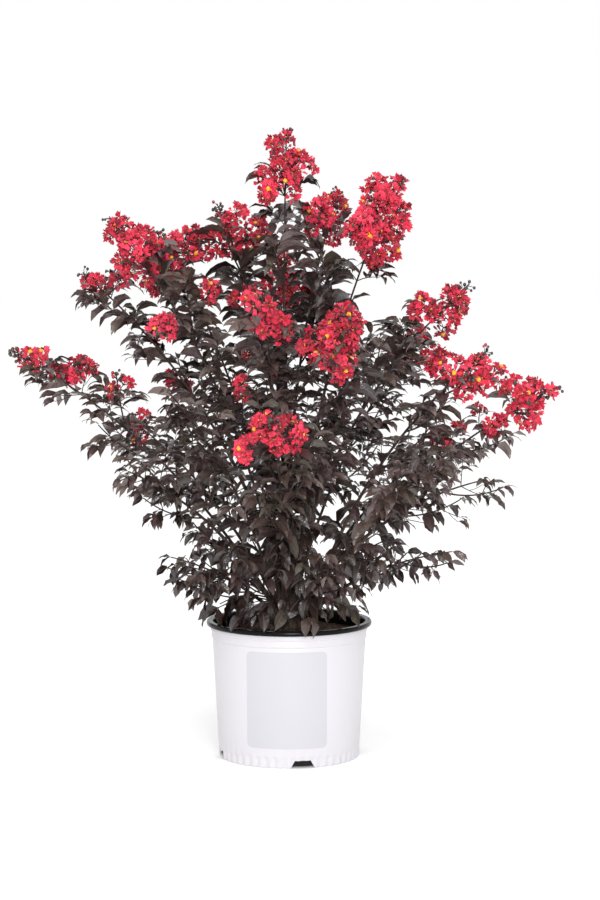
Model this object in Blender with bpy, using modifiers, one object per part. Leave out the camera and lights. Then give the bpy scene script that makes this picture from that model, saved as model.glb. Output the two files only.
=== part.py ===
"""Dark-leaved crape myrtle, a many-stemmed flowering shrub, in a round nursery pot.

Metres, +Z up. The origin is the middle of the pot's flat underside, and -Y is the front.
"""

import math
import random
from collections import namedtuple

import bmesh
import bpy
import numpy as np
from mathutils import Matrix, Vector
from mathutils.bvhtree import BVHTree

# Clearance between neighbouring solids
GAP = 0.0004

# Pot: a moulded plastic wall under a rolled lip
POT_SIDES = 48
WALL_TOP = 0.2268
WALL = 0.0020
FLOOR = 0.0024
FOOT_RADIUS = 0.1186
SHOULDER_RADIUS = 0.1297
SHOULDER_HEIGHT = 0.2030
SHOULDER_STEP = 0.0015
COLLAR_LOW_RADIUS = 0.1312
COLLAR_RADIUS = 0.1325
COLLAR_HEIGHT = 0.2158
COLLAR_STEP = 0.0012
LIP_RADIUS = 0.1400
LIP_TOP = 0.2320
LIP_BEAD = 0.0080
LIP_ROUND = 0.0018
LIP_LINING_FOOT = 0.2060
LIP_THICKNESS = 0.0016
FLUTE_TOP = 0.0205
FLUTE_SWELL = 0.0010
FLUTE_DEPTH = 0.0009
NOTCH_COUNT = 4
NOTCH_TURN = 281.5
NOTCH_HEIGHT = 0.0130
NOTCH_FOOT_WIDTH = 0.0480
NOTCH_HEAD_WIDTH = 0.0270
NOTCH_DEPTH = 0.0140

# Potting mix and the woody crown that stands on it
SOIL_TOP = 0.2150
SOIL_FLAT_RADIUS = 0.0450
SOIL_BEND_RADIUS = 0.0900
SOIL_BEND = 0.2135
SOIL_EDGE = 0.2105
CROWN_SIDES = 16
CROWN_ROWS = 5
CROWN_RADIUS = 0.0260
CROWN_CENTRE = SOIL_TOP + 0.0360
NECK_RADIUS = 0.0225
NECK_HEIGHT = 0.0180
FLARE_RADIUS = 0.0350
FLARE_HEIGHT = 0.0080
FLARE_LOBES = 5
FLARE_DEPTH = 0.0035

# Boughs and twigs
ARCH = math.radians(15)
STEEPEST = math.radians(88)
SETTLING_STEPS = 6
BOUGH_RADIUS = 0.0044
FORK_RADIUS = 0.0034
STEM_RADIUS = 0.0028
TWIG_RADIUS = 0.0017
TWIG_TIP_RADIUS = 0.0011
BOUGH_PIECES = 3
STEM_PIECES = 5
TWIG_PIECES = 2

# Side twigs are set along the stem from the first share of its leafy part to the last
SIDE_TWIG_FIRST = 0.10
SIDE_TWIG_LAST = 0.80
SIDE_TWIG_LENGTH = 0.172
SIDE_TWIG_TAPER = 0.090
SIDE_TWIG_LEAN = math.radians(42)
SIDE_TWIG_LIFT = 0.35
SIDE_TWIG_TRIES = 4
GOLDEN_TURN = math.radians(137.5)
SPACE_MARGIN = 0.002

# Leaves are about twice life size here, so each stands for a spray
LEAF_LENGTH = 0.100
LEAF_WIDTH = 0.050
LEAF_THICKNESS = 0.0014
LEAF_ARCH = 0.10
LEAF_DROOP = (0.28, 0.60)
LEAF_FOLD = 0.25
LEAF_LEAN = 0.45
LEAF_EVERY = 0.066
LEAF_FITS = (1.0, 0.82, 0.66)
SKIRT_LEAF = 0.72

# Blossom: a panicle is a cone of flower clusters round the end of its twig
CLUSTER_EVERY = 0.018
CLUSTER_SHARE = 0.62
PANICLE_DEPTH = 2.2
SIDE_BLOOM = (0.45, 0.65)
SIDE_BLOOM_LEAST = 0.016

# One row for each mass of foliage. azimuth is in degrees, with 0 to the right and 270 to the
# front. reach is from the pot's axis and height from the ground, both to the shoot's tip.
# leafy is the share of the shoot that is bare bough, with no leaves yet. sides counts its side
# twigs, the last side_blooms of them in flower. bloom is the radius of its own panicle, or 0.
# A shoot starts on the woody crown at seat = (azimuth, elevation), or on another mass's bough
# at seat = (its name, share along it).
Mass = namedtuple(
    "Mass", "name azimuth reach height leafy sides side_blooms bloom seat seed"
)
MASSES = (
    Mass("crown_top", 180, 0.004, 1.056, 0.24, 4, 1, 0.050, (180, 90), 17),
    Mass("upper_left", 184, 0.300, 0.912, 0.20, 4, 1, 0.052, (184, 54), 25),
    Mass("upper_right", 345, 0.190, 0.978, 0.20, 4, 1, 0.062, (345, 54), 27),
    Mass("front_high", 287, 0.312, 0.762, 0.20, 4, 0, 0.052, (290, 54), 4),
    Mass("front_left_high", 261, 0.262, 0.790, 0.20, 4, 1, 0.038, (240, 54), 46),
    Mass("back", 92, 0.300, 0.850, 0.20, 4, 1, 0.046, (92, 54), 6),
    Mass("back_left", 139, 0.300, 0.880, 0.20, 4, 1, 0.040, (139, 54), 7),
    Mass("back_right", 45, 0.340, 0.720, 0.20, 4, 1, 0.038, (45, 54), 8),
    Mass("left_low", 184, 0.462, 0.690, 0.20, 4, 2, 0.030, (184, 14), 80),
    Mass("right_low", 0, 0.455, 0.628, 0.20, 4, 0, 0.042, (0, 14), 10),
    Mass("front_low", 266, 0.340, 0.600, 0.18, 4, 0, 0.044, (266, 14), 11),
    Mass("front_left_low", 231, 0.300, 0.630, 0.18, 4, 0, 0.0, (226, 14), 12),
    Mass("front_right_low", 317, 0.360, 0.530, 0.18, 4, 0, 0.0, (316, 14), 13),
    Mass("back_low_left", 140, 0.380, 0.560, 0.18, 4, 0, 0.030, (140, 14), 14),
    Mass("back_low_right", 38, 0.390, 0.540, 0.18, 4, 0, 0.030, (40, 14), 15),
    Mass("back_low", 92, 0.360, 0.580, 0.18, 4, 0, 0.032, (92, 14), 16),
    Mass("back_left_high", 137, 0.170, 0.935, 0.26, 3, 0, 0.044, ("crown_top", 0.45), 17),
    Mass("back_right_high", 60, 0.170, 0.955, 0.26, 3, 0, 0.040, ("crown_top", 0.80), 18),
    Mass("left_middle", 173, 0.352, 0.818, 0.26, 3, 0, 0.020, ("upper_left", 0.75), 19),
    Mass("right_high", 354, 0.302, 0.800, 0.26, 3, 1, 0.042, ("upper_right", 0.75), 67),
    Mass("right_middle", 338, 0.350, 0.694, 0.26, 3, 1, 0.040, ("right_low", 0.50), 8),
    Mass("left_under", 194, 0.275, 0.490, 0.28, 3, 0, 0.0, ("left_low", 0.60), 22),
    Mass("right_under", 346, 0.325, 0.475, 0.28, 3, 0, 0.0, ("right_low", 0.85), 23),
    Mass("skirt_left", 184, 0.200, 0.340, 0.0, 2, 0, 0.0, (190, -14), 24),
    Mass("skirt_right", 356, 0.275, 0.350, 0.0, 3, 0, 0.0, (350, -14), 25),
    Mass("skirt_front_right", 318, 0.215, 0.385, 0.0, 3, 0, 0.0, (318, -14), 26),
    Mass("skirt_front", 290, 0.185, 0.365, 0.0, 3, 0, 0.0, (290, -14), 27),
    Mass("skirt_front_left", 246, 0.195, 0.375, 0.0, 3, 0, 0.0, (246, -14), 28),
    Mass("skirt_side_left", 212, 0.195, 0.335, 0.0, 2, 0, 0.0, (212, -14), 29),
    Mass("skirt_back", 92, 0.210, 0.370, 0.0, 2, 0, 0.0, (92, -14), 30),
    Mass("skirt_back_left", 140, 0.200, 0.350, 0.0, 2, 0, 0.0, (140, -14), 31),
    Mass("skirt_back_right", 44, 0.210, 0.360, 0.0, 2, 0, 0.0, (44, -14), 32),
)

MATERIALS = {
    "white_plastic": ((0.86, 0.86, 0.88), 0.45),
    "black_plastic": ((0.015, 0.015, 0.016), 0.35),
    "potting_mix": ((0.050, 0.030, 0.020), 0.95),
    "bark": ((0.110, 0.075, 0.055), 0.80),
    "foliage": ((0.045, 0.028, 0.030), 0.50),
}


def clear_scene():
    for thing in list(bpy.data.objects):
        bpy.data.objects.remove(thing)


def collection_named(name, hidden=False):
    """A collection in the scene. A hidden one holds cutters and helpers."""
    made = bpy.data.collections.new(name)
    bpy.context.scene.collection.children.link(made)
    made.hide_render = hidden
    return made


def material_named(name):
    """The part's own plain material of that name, made on first use."""
    if name in bpy.data.materials:
        return bpy.data.materials[name]
    colour, roughness = MATERIALS[name]
    made = bpy.data.materials.new(name)
    made.use_nodes = True
    shader = made.node_tree.nodes["Principled BSDF"]
    shader.inputs["Base Color"].default_value = (*colour, 1)
    shader.inputs["Roughness"].default_value = roughness
    shader.inputs["Metallic"].default_value = 0
    made.diffuse_color = (*colour, 1)
    return made


def add_object(name, mesh, collection, material=None):
    made = bpy.data.objects.new(name, mesh)
    collection.objects.link(made)
    if material:
        mesh.materials.clear()
        mesh.materials.append(material_named(material))
    return made


def mesh_from(name, build):
    """A new mesh filled by build, which is given an empty bmesh."""
    shape = bmesh.new()
    build(shape)
    mesh = bpy.data.meshes.new(name)
    shape.to_mesh(mesh)
    shape.free()
    return mesh


def evaluated_mesh(thing, weld=1e-5):
    """The mesh of an object with its modifiers or bevel applied, in world space.

    Points within weld of each other become one. With weld at 0 they are left as they are.
    """
    bpy.context.view_layer.update()
    graph = bpy.context.evaluated_depsgraph_get()
    mesh = bpy.data.meshes.new_from_object(thing.evaluated_get(graph))
    mesh.transform(thing.matrix_world)
    if weld:
        shape = bmesh.new()
        shape.from_mesh(mesh)
        bmesh.ops.remove_doubles(shape, verts=shape.verts, dist=weld)
        bmesh.ops.recalc_face_normals(shape, faces=shape.faces)
        shape.to_mesh(mesh)
        shape.free()
    return mesh


def turned(name, profile, steps, closed_loop=False):
    """A mesh turned round Z from (radius, height) points that run down its outer side."""
    helpers = bpy.data.collections["helpers"]

    def build(shape):
        points = [shape.verts.new((radius, 0, height)) for radius, height in profile]
        for first, second in zip(points, points[1:]):
            shape.edges.new((first, second))
        if closed_loop:
            shape.edges.new((points[-1], points[0]))

    guide = add_object(name + "_profile", mesh_from(name, build), helpers)
    screw = guide.modifiers.new("turn", "SCREW")
    screw.angle = math.tau
    screw.steps = steps
    screw.render_steps = steps
    screw.use_merge_vertices = True
    screw.merge_threshold = 0.0001
    mesh = evaluated_mesh(guide)
    bpy.data.objects.remove(guide)
    mesh.shade_smooth()
    mesh.set_sharp_from_angle(angle=math.radians(35))
    return mesh


def direction(azimuth, elevation):
    """A unit vector, from angles in radians."""
    level = math.cos(elevation)
    return Vector((math.cos(azimuth) * level, math.sin(azimuth) * level, math.sin(elevation)))


def across(along, turn):
    """A unit vector square to along, at an angle round it."""
    side = along.orthogonal().normalized()
    return Matrix.Rotation(turn, 3, along) @ side


def tree_of(mesh):
    return BVHTree.FromPolygons(
        [vert.co for vert in mesh.vertices], [face.vertices for face in mesh.polygons]
    )


# Pot

def notch_cutter(turn, helpers):
    """A wedge that cuts one drain notch through the foot of the wall and the edge of the floor."""

    def build(shape):
        bmesh.ops.create_cube(shape, size=1.0)
        for vert in shape.verts:
            width = NOTCH_HEAD_WIDTH if vert.co.z > 0 else NOTCH_FOOT_WIDTH
            outer = FOOT_RADIUS + NOTCH_DEPTH
            inner = FOOT_RADIUS - NOTCH_DEPTH
            vert.co = (
                outer if vert.co.x > 0 else inner,
                math.copysign(width / 2, vert.co.y),
                NOTCH_HEIGHT if vert.co.z > 0 else -NOTCH_HEIGHT / 2,
            )

    cutter = add_object("notch_cutter", mesh_from("notch_cutter", build), helpers)
    cutter.rotation_euler.z = turn
    cutter.hide_render = True
    cutter.display_type = "WIRE"
    return cutter


def flute_foot(mesh):
    """Draws alternate columns of the foot inwards, as the short flutes round a moulded pot."""
    for vert in mesh.vertices:
        radius = math.hypot(vert.co.x, vert.co.y)
        if vert.co.z < FLUTE_TOP - GAP and radius > FOOT_RADIUS - WALL:
            column = round(math.atan2(vert.co.y, vert.co.x) / math.tau * POT_SIDES)
            if column % 2:
                share = (radius - FLUTE_DEPTH) / radius
                vert.co.x *= share
                vert.co.y *= share


def make_pot(collection, helpers):
    """The white wall and flat floor, with a stepped collar and a fluted, notched foot."""
    profile = (
        (0, FLOOR),
        (FOOT_RADIUS - WALL, FLOOR),
        (SHOULDER_RADIUS - WALL, SHOULDER_HEIGHT - 2 * WALL),
        (COLLAR_LOW_RADIUS - WALL, SHOULDER_HEIGHT),
        (COLLAR_RADIUS - WALL, WALL_TOP),
        (COLLAR_RADIUS, WALL_TOP),
        (COLLAR_RADIUS, COLLAR_HEIGHT),
        (COLLAR_LOW_RADIUS, COLLAR_HEIGHT - COLLAR_STEP),
        (COLLAR_LOW_RADIUS, SHOULDER_HEIGHT + SHOULDER_STEP),
        (SHOULDER_RADIUS, SHOULDER_HEIGHT),
        (FOOT_RADIUS + FLUTE_SWELL, FLUTE_TOP),
        (FOOT_RADIUS, 0),
        (0, 0),
    )
    mesh = turned("pot", profile, POT_SIDES)
    flute_foot(mesh)
    pot = add_object("pot", mesh, collection, "white_plastic")
    for number in range(NOTCH_COUNT):
        turn = math.radians(NOTCH_TURN) + number * math.tau / NOTCH_COUNT
        cut = pot.modifiers.new(f"notch_{number}", "BOOLEAN")
        cut.operation = "DIFFERENCE"
        cut.solver = "EXACT"
        cut.object = notch_cutter(turn, helpers)
    return pot


def make_lip(collection):
    """The black rolled lip, which hooks over the wall and lines it down to the potting mix."""
    wall_inner_top = COLLAR_RADIUS - WALL - GAP
    wall_inner_low = COLLAR_LOW_RADIUS - WALL - GAP
    hook = COLLAR_RADIUS + GAP
    profile = (
        (wall_inner_low - LIP_THICKNESS, LIP_LINING_FOOT),
        (wall_inner_top - LIP_THICKNESS, LIP_TOP - LIP_ROUND),
        (wall_inner_top, LIP_TOP),
        (LIP_RADIUS - LIP_ROUND, LIP_TOP - LIP_ROUND / 2),
        (LIP_RADIUS, LIP_TOP - LIP_BEAD / 2),
        (LIP_RADIUS - LIP_ROUND, LIP_TOP - LIP_BEAD),
        (hook, LIP_TOP - LIP_BEAD),
        (hook, WALL_TOP + GAP),
        (wall_inner_top, WALL_TOP + GAP),
        (wall_inner_low, LIP_LINING_FOOT),
    )
    mesh = turned("pot_lip", profile, POT_SIDES, closed_loop=True)
    return add_object("pot_lip", mesh, collection, "black_plastic")


def make_potting_mix(collection):
    inner_foot = FOOT_RADIUS - WALL - 2 * GAP
    inner_top = COLLAR_LOW_RADIUS - WALL - LIP_THICKNESS - 2 * GAP
    profile = (
        (0, SOIL_TOP),
        (SOIL_FLAT_RADIUS, SOIL_TOP),
        (SOIL_BEND_RADIUS, SOIL_BEND),
        (inner_top, SOIL_EDGE),
        (inner_top, SHOULDER_HEIGHT),
        (inner_foot, FLOOR + GAP),
        (0, FLOOR + GAP),
    )
    mesh = turned("potting_mix", profile, POT_SIDES // 2)
    return add_object("potting_mix", mesh, collection, "potting_mix")


# Woody crown

def make_woody_crown(collection):
    """The short trunk: a flat cut on the mix, root flare, a neck, and the knob that boughs leave."""
    foot = SOIL_TOP + GAP
    profile = [(0, CROWN_CENTRE + CROWN_RADIUS)]
    for row in range(1, CROWN_ROWS + 1):
        turn = math.radians(90 - 22 * row)
        height = CROWN_CENTRE + CROWN_RADIUS * math.sin(turn)
        profile.append((CROWN_RADIUS * math.cos(turn), height))
    profile += [
        (NECK_RADIUS, foot + NECK_HEIGHT),
        ((NECK_RADIUS + FLARE_RADIUS) / 2, foot + FLARE_HEIGHT),
        (FLARE_RADIUS, foot),
        (0, foot),
    ]
    mesh = turned("woody_crown", profile, CROWN_SIDES)
    for vert in mesh.vertices:
        if vert.co.z < foot + (FLARE_HEIGHT + NECK_HEIGHT) / 2:
            radius = math.hypot(vert.co.x, vert.co.y)
            lobes = math.cos(FLARE_LOBES * math.atan2(vert.co.y, vert.co.x))
            share = 1 + FLARE_DEPTH * lobes / max(radius, NECK_RADIUS)
            vert.co.x *= share
            vert.co.y *= share
    return add_object("woody_crown", mesh, collection, "bark")


# Shoots

class Shoot:
    """An arching stem from start to tip: a quadratic curve that leaves in the direction first."""

    def __init__(self, start, tip, first):
        reach = (tip - start).length
        self.start = start
        self.control = start + first * (reach / 2 / math.cos(ARCH))
        self.tip = tip

    def at(self, share):
        rest = 1 - share
        return self.start * rest**2 + self.control * 2 * rest * share + self.tip * share**2

    def along(self, share):
        """The direction of growth there."""
        slope = (self.control - self.start) * (1 - share) + (self.tip - self.control) * share
        return slope.normalized()

    def length(self):
        points = [self.at(step / 12) for step in range(13)]
        return sum((b - a).length for a, b in zip(points, points[1:]))

    def points(self, first, last, pieces):
        return [self.at(first + (last - first) * step / pieces) for step in range(pieces + 1)]


def tip_of(mass):
    turn = math.radians(mass.azimuth)
    return Vector((math.cos(turn) * mass.reach, math.sin(turn) * mass.reach, mass.height))


def first_direction(seat, tip):
    """A shoot leaves more steeply than the straight line to its tip, and so arches outwards."""
    chord = tip - seat
    level = math.hypot(chord.x, chord.y)
    azimuth = math.atan2(chord.y, chord.x)
    return direction(azimuth, min(math.atan2(chord.z, level) + ARCH, STEEPEST))


def base_radius(mass):
    if mass.leafy == 0:
        return STEM_RADIUS
    return FORK_RADIUS if isinstance(mass.seat[0], str) else BOUGH_RADIUS


def crown_seat(mass):
    """A first place for a shoot's foot, a little off the woody crown, and the way in from there."""
    outward = direction(math.radians(mass.seat[0]), math.radians(mass.seat[1]))
    foot = Vector((0, 0, CROWN_CENTRE)) + outward * (CROWN_RADIUS + 2 * base_radius(mass))
    return foot, -outward


def bough_radius(mass, share):
    """The radius of a bough at a share of its shoot."""
    return base_radius(mass) + (STEM_RADIUS - base_radius(mass)) * share / mass.leafy


def fork_seat(mass, parent, shoot):
    """A first place for a forked bough's foot, beside the bough that carries it, and the way in."""
    share = mass.seat[1] * parent.leafy
    middle = shoot.at(share)
    along = shoot.along(share)
    first = first_direction(middle, tip_of(mass))
    outward = (first - along * first.dot(along)).normalized()
    return middle + outward * (bough_radius(parent, share) + 2 * base_radius(mass)), -outward


def foot_points(mass, foot):
    """Points all over the flat end that a shoot would have with its foot there."""
    shoot = Shoot(foot, tip_of(mass), first_direction(foot, tip_of(mass)))
    piece = mass.leafy / BOUGH_PIECES if mass.leafy else 1 / STEM_PIECES
    along = (shoot.at(piece) - foot).normalized()
    rim = [across(along, turn * math.tau / 12) for turn in range(12)]
    return [foot] + [foot + side * base_radius(mass) * size for side in rim for size in (0.5, 1)]


def settled_shoot(mass, foot, inward, carrier):
    """The shoot with its foot moved in until it lies just clear of what carries it."""
    for _ in range(SETTLING_STEPS):
        clear = min(carrier.find_nearest(point)[3] for point in foot_points(mass, foot))
        foot = foot + inward * (clear - GAP)
    return Shoot(foot, tip_of(mass), first_direction(foot, tip_of(mass)))


def make_boughs(crown, collection):
    """Plans every shoot, each settled on its carrier, and makes the bare bough of those with one."""
    masses = {mass.name: mass for mass in MASSES}
    crown_tree = tree_of(crown.data)
    shoots = {}
    boughs = {}
    for mass in MASSES:
        if isinstance(mass.seat[0], str):
            foot, inward = fork_seat(mass, masses[mass.seat[0]], shoots[mass.seat[0]])
            carrier = tree_of(boughs[mass.seat[0]].data)
        else:
            foot, inward = crown_seat(mass)
            carrier = crown_tree
        shoots[mass.name] = settled_shoot(mass, foot, inward, carrier)
        if mass.leafy:
            boughs[mass.name] = make_bough(mass, shoots[mass.name], collection)
    return shoots, list(boughs.values())


def tube(name, points, radii, round_sides):
    """A tapering closed tube along points, either round or three-sided, as a mesh."""
    helpers = bpy.data.collections["helpers"]
    curve = bpy.data.curves.new(name, "CURVE")
    curve.dimensions = "3D"
    curve.use_fill_caps = True
    if round_sides:
        curve.bevel_depth = 1.0
        curve.bevel_resolution = 1
    else:
        curve.bevel_mode = "OBJECT"
        curve.bevel_object = bpy.data.objects["twig_section"]
    spline = curve.splines.new("POLY")
    spline.points.add(len(points) - 1)
    for place, point, radius in zip(spline.points, points, radii):
        place.co = (*point, 1)
        place.radius = radius
    guide = bpy.data.objects.new(name, curve)
    helpers.objects.link(guide)
    mesh = evaluated_mesh(guide)
    bpy.data.objects.remove(guide)
    return mesh


def make_twig_section(helpers):
    """The three-sided outline, of unit radius, that every twig is drawn with."""
    curve = bpy.data.curves.new("twig_section", "CURVE")
    curve.dimensions = "2D"
    spline = curve.splines.new("POLY")
    spline.points.add(2)
    for number, place in enumerate(spline.points):
        turn = number * math.tau / 3
        place.co = (math.cos(turn), math.sin(turn), 0, 1)
    spline.use_cyclic_u = True
    section = bpy.data.objects.new("twig_section", curve)
    helpers.objects.link(section)


def make_bough(mass, shoot, collection):
    points = shoot.points(0, mass.leafy, BOUGH_PIECES)
    radii = [
        bough_radius(mass, mass.leafy * step / BOUGH_PIECES) for step in range(BOUGH_PIECES + 1)
    ]
    mesh = tube("bough_" + mass.name, points, radii, round_sides=True)
    return add_object("bough_" + mass.name, mesh, collection, "bark")


# Foliage

def side_twig(shoot, place, turn, size):
    """A side shoot that leans out from its stem and then lifts towards the light."""
    along = shoot.along(place)
    first = along * math.cos(SIDE_TWIG_LEAN) + across(along, turn) * math.sin(SIDE_TWIG_LEAN)
    start = shoot.at(place)
    length = (SIDE_TWIG_LENGTH - SIDE_TWIG_TAPER * place) * size
    tip = start + (first + Vector((0, 0, SIDE_TWIG_LIFT))).normalized() * length
    return Shoot(start, tip, first)


def leaf_mesh(base, outward, size, droop):
    """A thin arched blade of eight faces: an octahedron drawn out from its stalk to its tip."""
    level = Vector((outward.x, outward.y, 0)).normalized()
    ahead = (level + Vector((0, 0, outward.z * 0.5))).normalized()
    side = Vector((0, 0, 1)).cross(level)
    upward = ahead.cross(side)
    length = LEAF_LENGTH * size
    half = LEAF_WIDTH * size / 2

    def build(shape):
        bmesh.ops.create_uvsphere(shape, u_segments=4, v_segments=2, radius=1)
        for vert in shape.verts:
            x, y, z = vert.co
            share = (z + 1) / 2 * 0.94
            lift = length * (LEAF_ARCH * math.sin(math.pi * share) - droop * share**2)
            place = base + ahead * (length * share) + upward * lift
            place += side * (x * half) - upward * (abs(x) * half * LEAF_FOLD)
            vert.co = place + upward * (y * LEAF_THICKNESS)

    return mesh_from("leaf", build)


def cluster_mesh(centre, size):
    def build(shape):
        matrix = Matrix.Translation(centre) @ Matrix.Diagonal((1.1, 1.1, 0.95, 1))
        bmesh.ops.create_icosphere(shape, subdivisions=1, radius=size, matrix=matrix)

    return mesh_from("cluster", build)


class Neighbours:
    """Every solid made so far, to test a new piece against."""

    def __init__(self):
        self.points = []
        self.faces = []

    def add(self, thing):
        mesh = evaluated_mesh(thing, weld=0)
        start = len(self.points)
        self.points += [vert.co.copy() for vert in mesh.vertices]
        self.faces += [[start + index for index in face.vertices] for face in mesh.polygons]
        bpy.data.meshes.remove(mesh)

    def tree(self):
        return BVHTree.FromPolygons(self.points, self.faces)


class Spaces:
    """The room that each mass keeps to: the points nearer to its own stem than to any other."""

    def __init__(self, shoots):
        starts = []
        spans = []
        owners = []
        for mass in MASSES:
            points = shoots[mass.name].points(mass.leafy, 1, 6)
            for first, second in zip(points, points[1:]):
                starts.append(first)
                spans.append(second - first)
                owners.append(mass.name)
        self.starts = np.array(starts)
        self.spans = np.array(spans)
        self.owners = np.array(owners)
        self.squares = (self.spans**2).sum(axis=1)

    def holds(self, name, mesh):
        own = self.owners == name
        for vert in mesh.vertices:
            offset = np.array(vert.co) - self.starts
            share = np.clip((offset * self.spans).sum(axis=1) / self.squares, 0, 1)
            distance = np.linalg.norm(offset - self.spans * share[:, None], axis=1)
            if distance[own].min() + SPACE_MARGIN > distance[~own].min():
                return False
        return True


def largest_shell(mesh):
    """Keeps the outer skin: a sealed hollow is filled and a loose scrap is dropped."""
    shape = bmesh.new()
    shape.from_mesh(mesh)
    unseen = set(shape.verts)
    islands = []
    while unseen:
        edge = [unseen.pop()]
        island = []
        while edge:
            vert = edge.pop()
            island.append(vert)
            for link in vert.link_edges:
                other = link.other_vert(vert)
                if other in unseen:
                    unseen.remove(other)
                    edge.append(other)
        islands.append(island)
    islands.sort(key=len)
    for island in islands[:-1]:
        bmesh.ops.delete(shape, geom=island, context="VERTS")
    bmesh.ops.triangulate(shape, faces=shape.faces)
    shape.to_mesh(mesh)
    shape.free()


def fused(name, meshes, collection, material):
    """One solid from many overlapping meshes, by one Boolean union on a collection."""
    joining = bpy.data.collections.new("joining")
    bpy.context.scene.collection.children.link(joining)
    stem = add_object(name, meshes[0], collection, material)
    for number, mesh in enumerate(meshes[1:]):
        add_object(f"joining_{number}", mesh, joining)
    union = stem.modifiers.new("union", "BOOLEAN")
    union.operation = "UNION"
    union.operand_type = "COLLECTION"
    union.collection = joining
    union.solver = "MANIFOLD"
    mesh = evaluated_mesh(stem, weld=0)
    largest_shell(mesh)
    stem.modifiers.clear()
    stem.data = mesh
    mesh.materials.clear()
    mesh.materials.append(material_named(material))
    for thing in list(joining.objects):
        bpy.data.objects.remove(thing)
    bpy.data.collections.remove(joining)
    return stem


def stem_mesh(shoot, first, last, start_radius, pieces):
    radii = [
        start_radius + (TWIG_TIP_RADIUS - start_radius) * step / pieces
        for step in range(pieces + 1)
    ]
    return tube("stem", shoot.points(first, last, pieces), radii, round_sides=False)


class Foliage:
    """One mass as it grows: each piece is kept only if it stays in its space and clear of all."""

    def __init__(self, mass, shoot, spaces, neighbours):
        self.mass = mass
        self.shoot = shoot
        self.spaces = spaces
        self.neighbours = neighbours
        self.rng = random.Random(mass.seed)
        self.first = mass.leafy + (GAP / shoot.length() if mass.leafy else 0)
        self.kept = [stem_mesh(shoot, self.first, 1, STEM_RADIUS, STEM_PIECES)]
        self.leaves = 0

    def keep(self, mesh):
        if tree_of(mesh).overlap(self.neighbours) or not self.spaces.holds(self.mass.name, mesh):
            return False
        self.kept.append(mesh)
        return True

    def grow_leaves(self, stem, first, last):
        """Leaves in opposite pairs, each pair square to the one before and each as large as fits."""
        count = max(1, round(stem.length() * (last - first) / LEAF_EVERY))
        phase = self.rng.uniform(0, math.tau)
        for number in range(2 * count):
            place = first + (last - first) * (number // 2 + 0.5) / count
            along = stem.along(place)
            turn = phase + (number // 2) * math.pi / 2 + (number % 2) * math.pi
            outward = (across(along, turn) + along * LEAF_LEAN).normalized()
            droop = self.rng.uniform(*LEAF_DROOP)
            size = self.rng.uniform(0.90, 1.10) * (1 if self.mass.leafy else SKIRT_LEAF)
            for fit in LEAF_FITS:
                if self.keep(leaf_mesh(stem.at(place), outward, size * fit, droop)):
                    self.leaves += 1
                    break

    def grow_panicle(self, stem, radius):
        """A cone of flower clusters round the end of a stem, lumped on one another."""
        count = max(1, round(radius / CLUSTER_EVERY))
        size = radius * (CLUSTER_SHARE if count > 1 else 1)
        depth = PANICLE_DEPTH * radius / stem.length()
        phase = self.rng.uniform(0, math.tau)
        for number in range(count):
            share = (number + 0.5) / count
            place = 1 - depth * (1 - share) - 0.6 * size / stem.length() * share
            along = stem.along(place)
            spread = (radius - size * 0.8) * (1 - share) ** 0.5
            outward = across(along, phase + number * GOLDEN_TURN)
            self.keep(cluster_mesh(stem.at(place) + outward * spread, size * (1.1 - 0.35 * share)))

    def grow_side_twigs(self):
        """Side shoots by the seeded rule: each turns round its stem until it has the room."""
        phase = self.rng.uniform(0, math.tau)
        room = 1 - self.first
        for number in range(self.mass.sides):
            step = (number + 0.5) / self.mass.sides
            place = self.first + room * (SIDE_TWIG_FIRST * (1 - step) + SIDE_TWIG_LAST * step)
            size = self.rng.uniform(0.80, 1.20)
            flowers = number >= self.mass.sides - self.mass.side_blooms
            bloom = max(self.mass.bloom * self.rng.uniform(*SIDE_BLOOM), SIDE_BLOOM_LEAST)
            for attempt in range(SIDE_TWIG_TRIES):
                turn = phase + (number + attempt) * GOLDEN_TURN
                twig = side_twig(self.shoot, place, turn, size * (1 - 0.12 * attempt))
                if self.keep(stem_mesh(twig, 0, 1, TWIG_RADIUS, TWIG_PIECES)):
                    if flowers:
                        self.grow_panicle(twig, bloom)
                    self.grow_leaves(twig, 0.30, 0.70 if flowers else 1.0)
                    break

    def grow(self, collection):
        if self.mass.bloom:
            self.grow_panicle(self.shoot, self.mass.bloom)
        self.grow_side_twigs()
        bare_top = 1.4 * self.mass.bloom / self.shoot.length()
        self.grow_leaves(self.shoot, self.first + 0.03, 1 - bare_top)
        return fused("foliage_" + self.mass.name, self.kept, collection, "foliage")


def main():
    clear_scene()
    plant = collection_named("crape_myrtle")
    helpers = collection_named("helpers", hidden=True)
    make_twig_section(helpers)
    crown = make_woody_crown(plant)
    shoots, boughs = make_boughs(crown, plant)
    made = [
        make_pot(plant, helpers),
        make_lip(plant),
        make_potting_mix(plant),
        crown,
        *boughs,
    ]
    spaces = Spaces(shoots)
    neighbours = Neighbours()
    for thing in made:
        neighbours.add(thing)
    leaves = 0
    for mass in MASSES:
        foliage = Foliage(mass, shoots[mass.name], spaces, neighbours.tree())
        made.append(foliage.grow(plant))
        neighbours.add(made[-1])
        leaves += foliage.leaves
    print(leaves, "leaves")


main()
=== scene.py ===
# %% [markdown]
# A dark-leaved crape myrtle in a white nursery pot. The plant is a shrub of many arching stems,
# with near-black leaves in opposite pairs and crimson panicles at the shoots' ends. This lesson
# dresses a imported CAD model: the model's plain solids say where each limb and mass of foliage is,
# and the cells below give each its real surface. The plant is grown a second time by the same
# rule that made the solids, down to single leaves, petals and buds.

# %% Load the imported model
import math
import random
from collections import namedtuple

import bmesh
import bpy
import numpy as np
from mathutils import Matrix, Vector, noise
from mathutils.bvhtree import BVHTree


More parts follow.
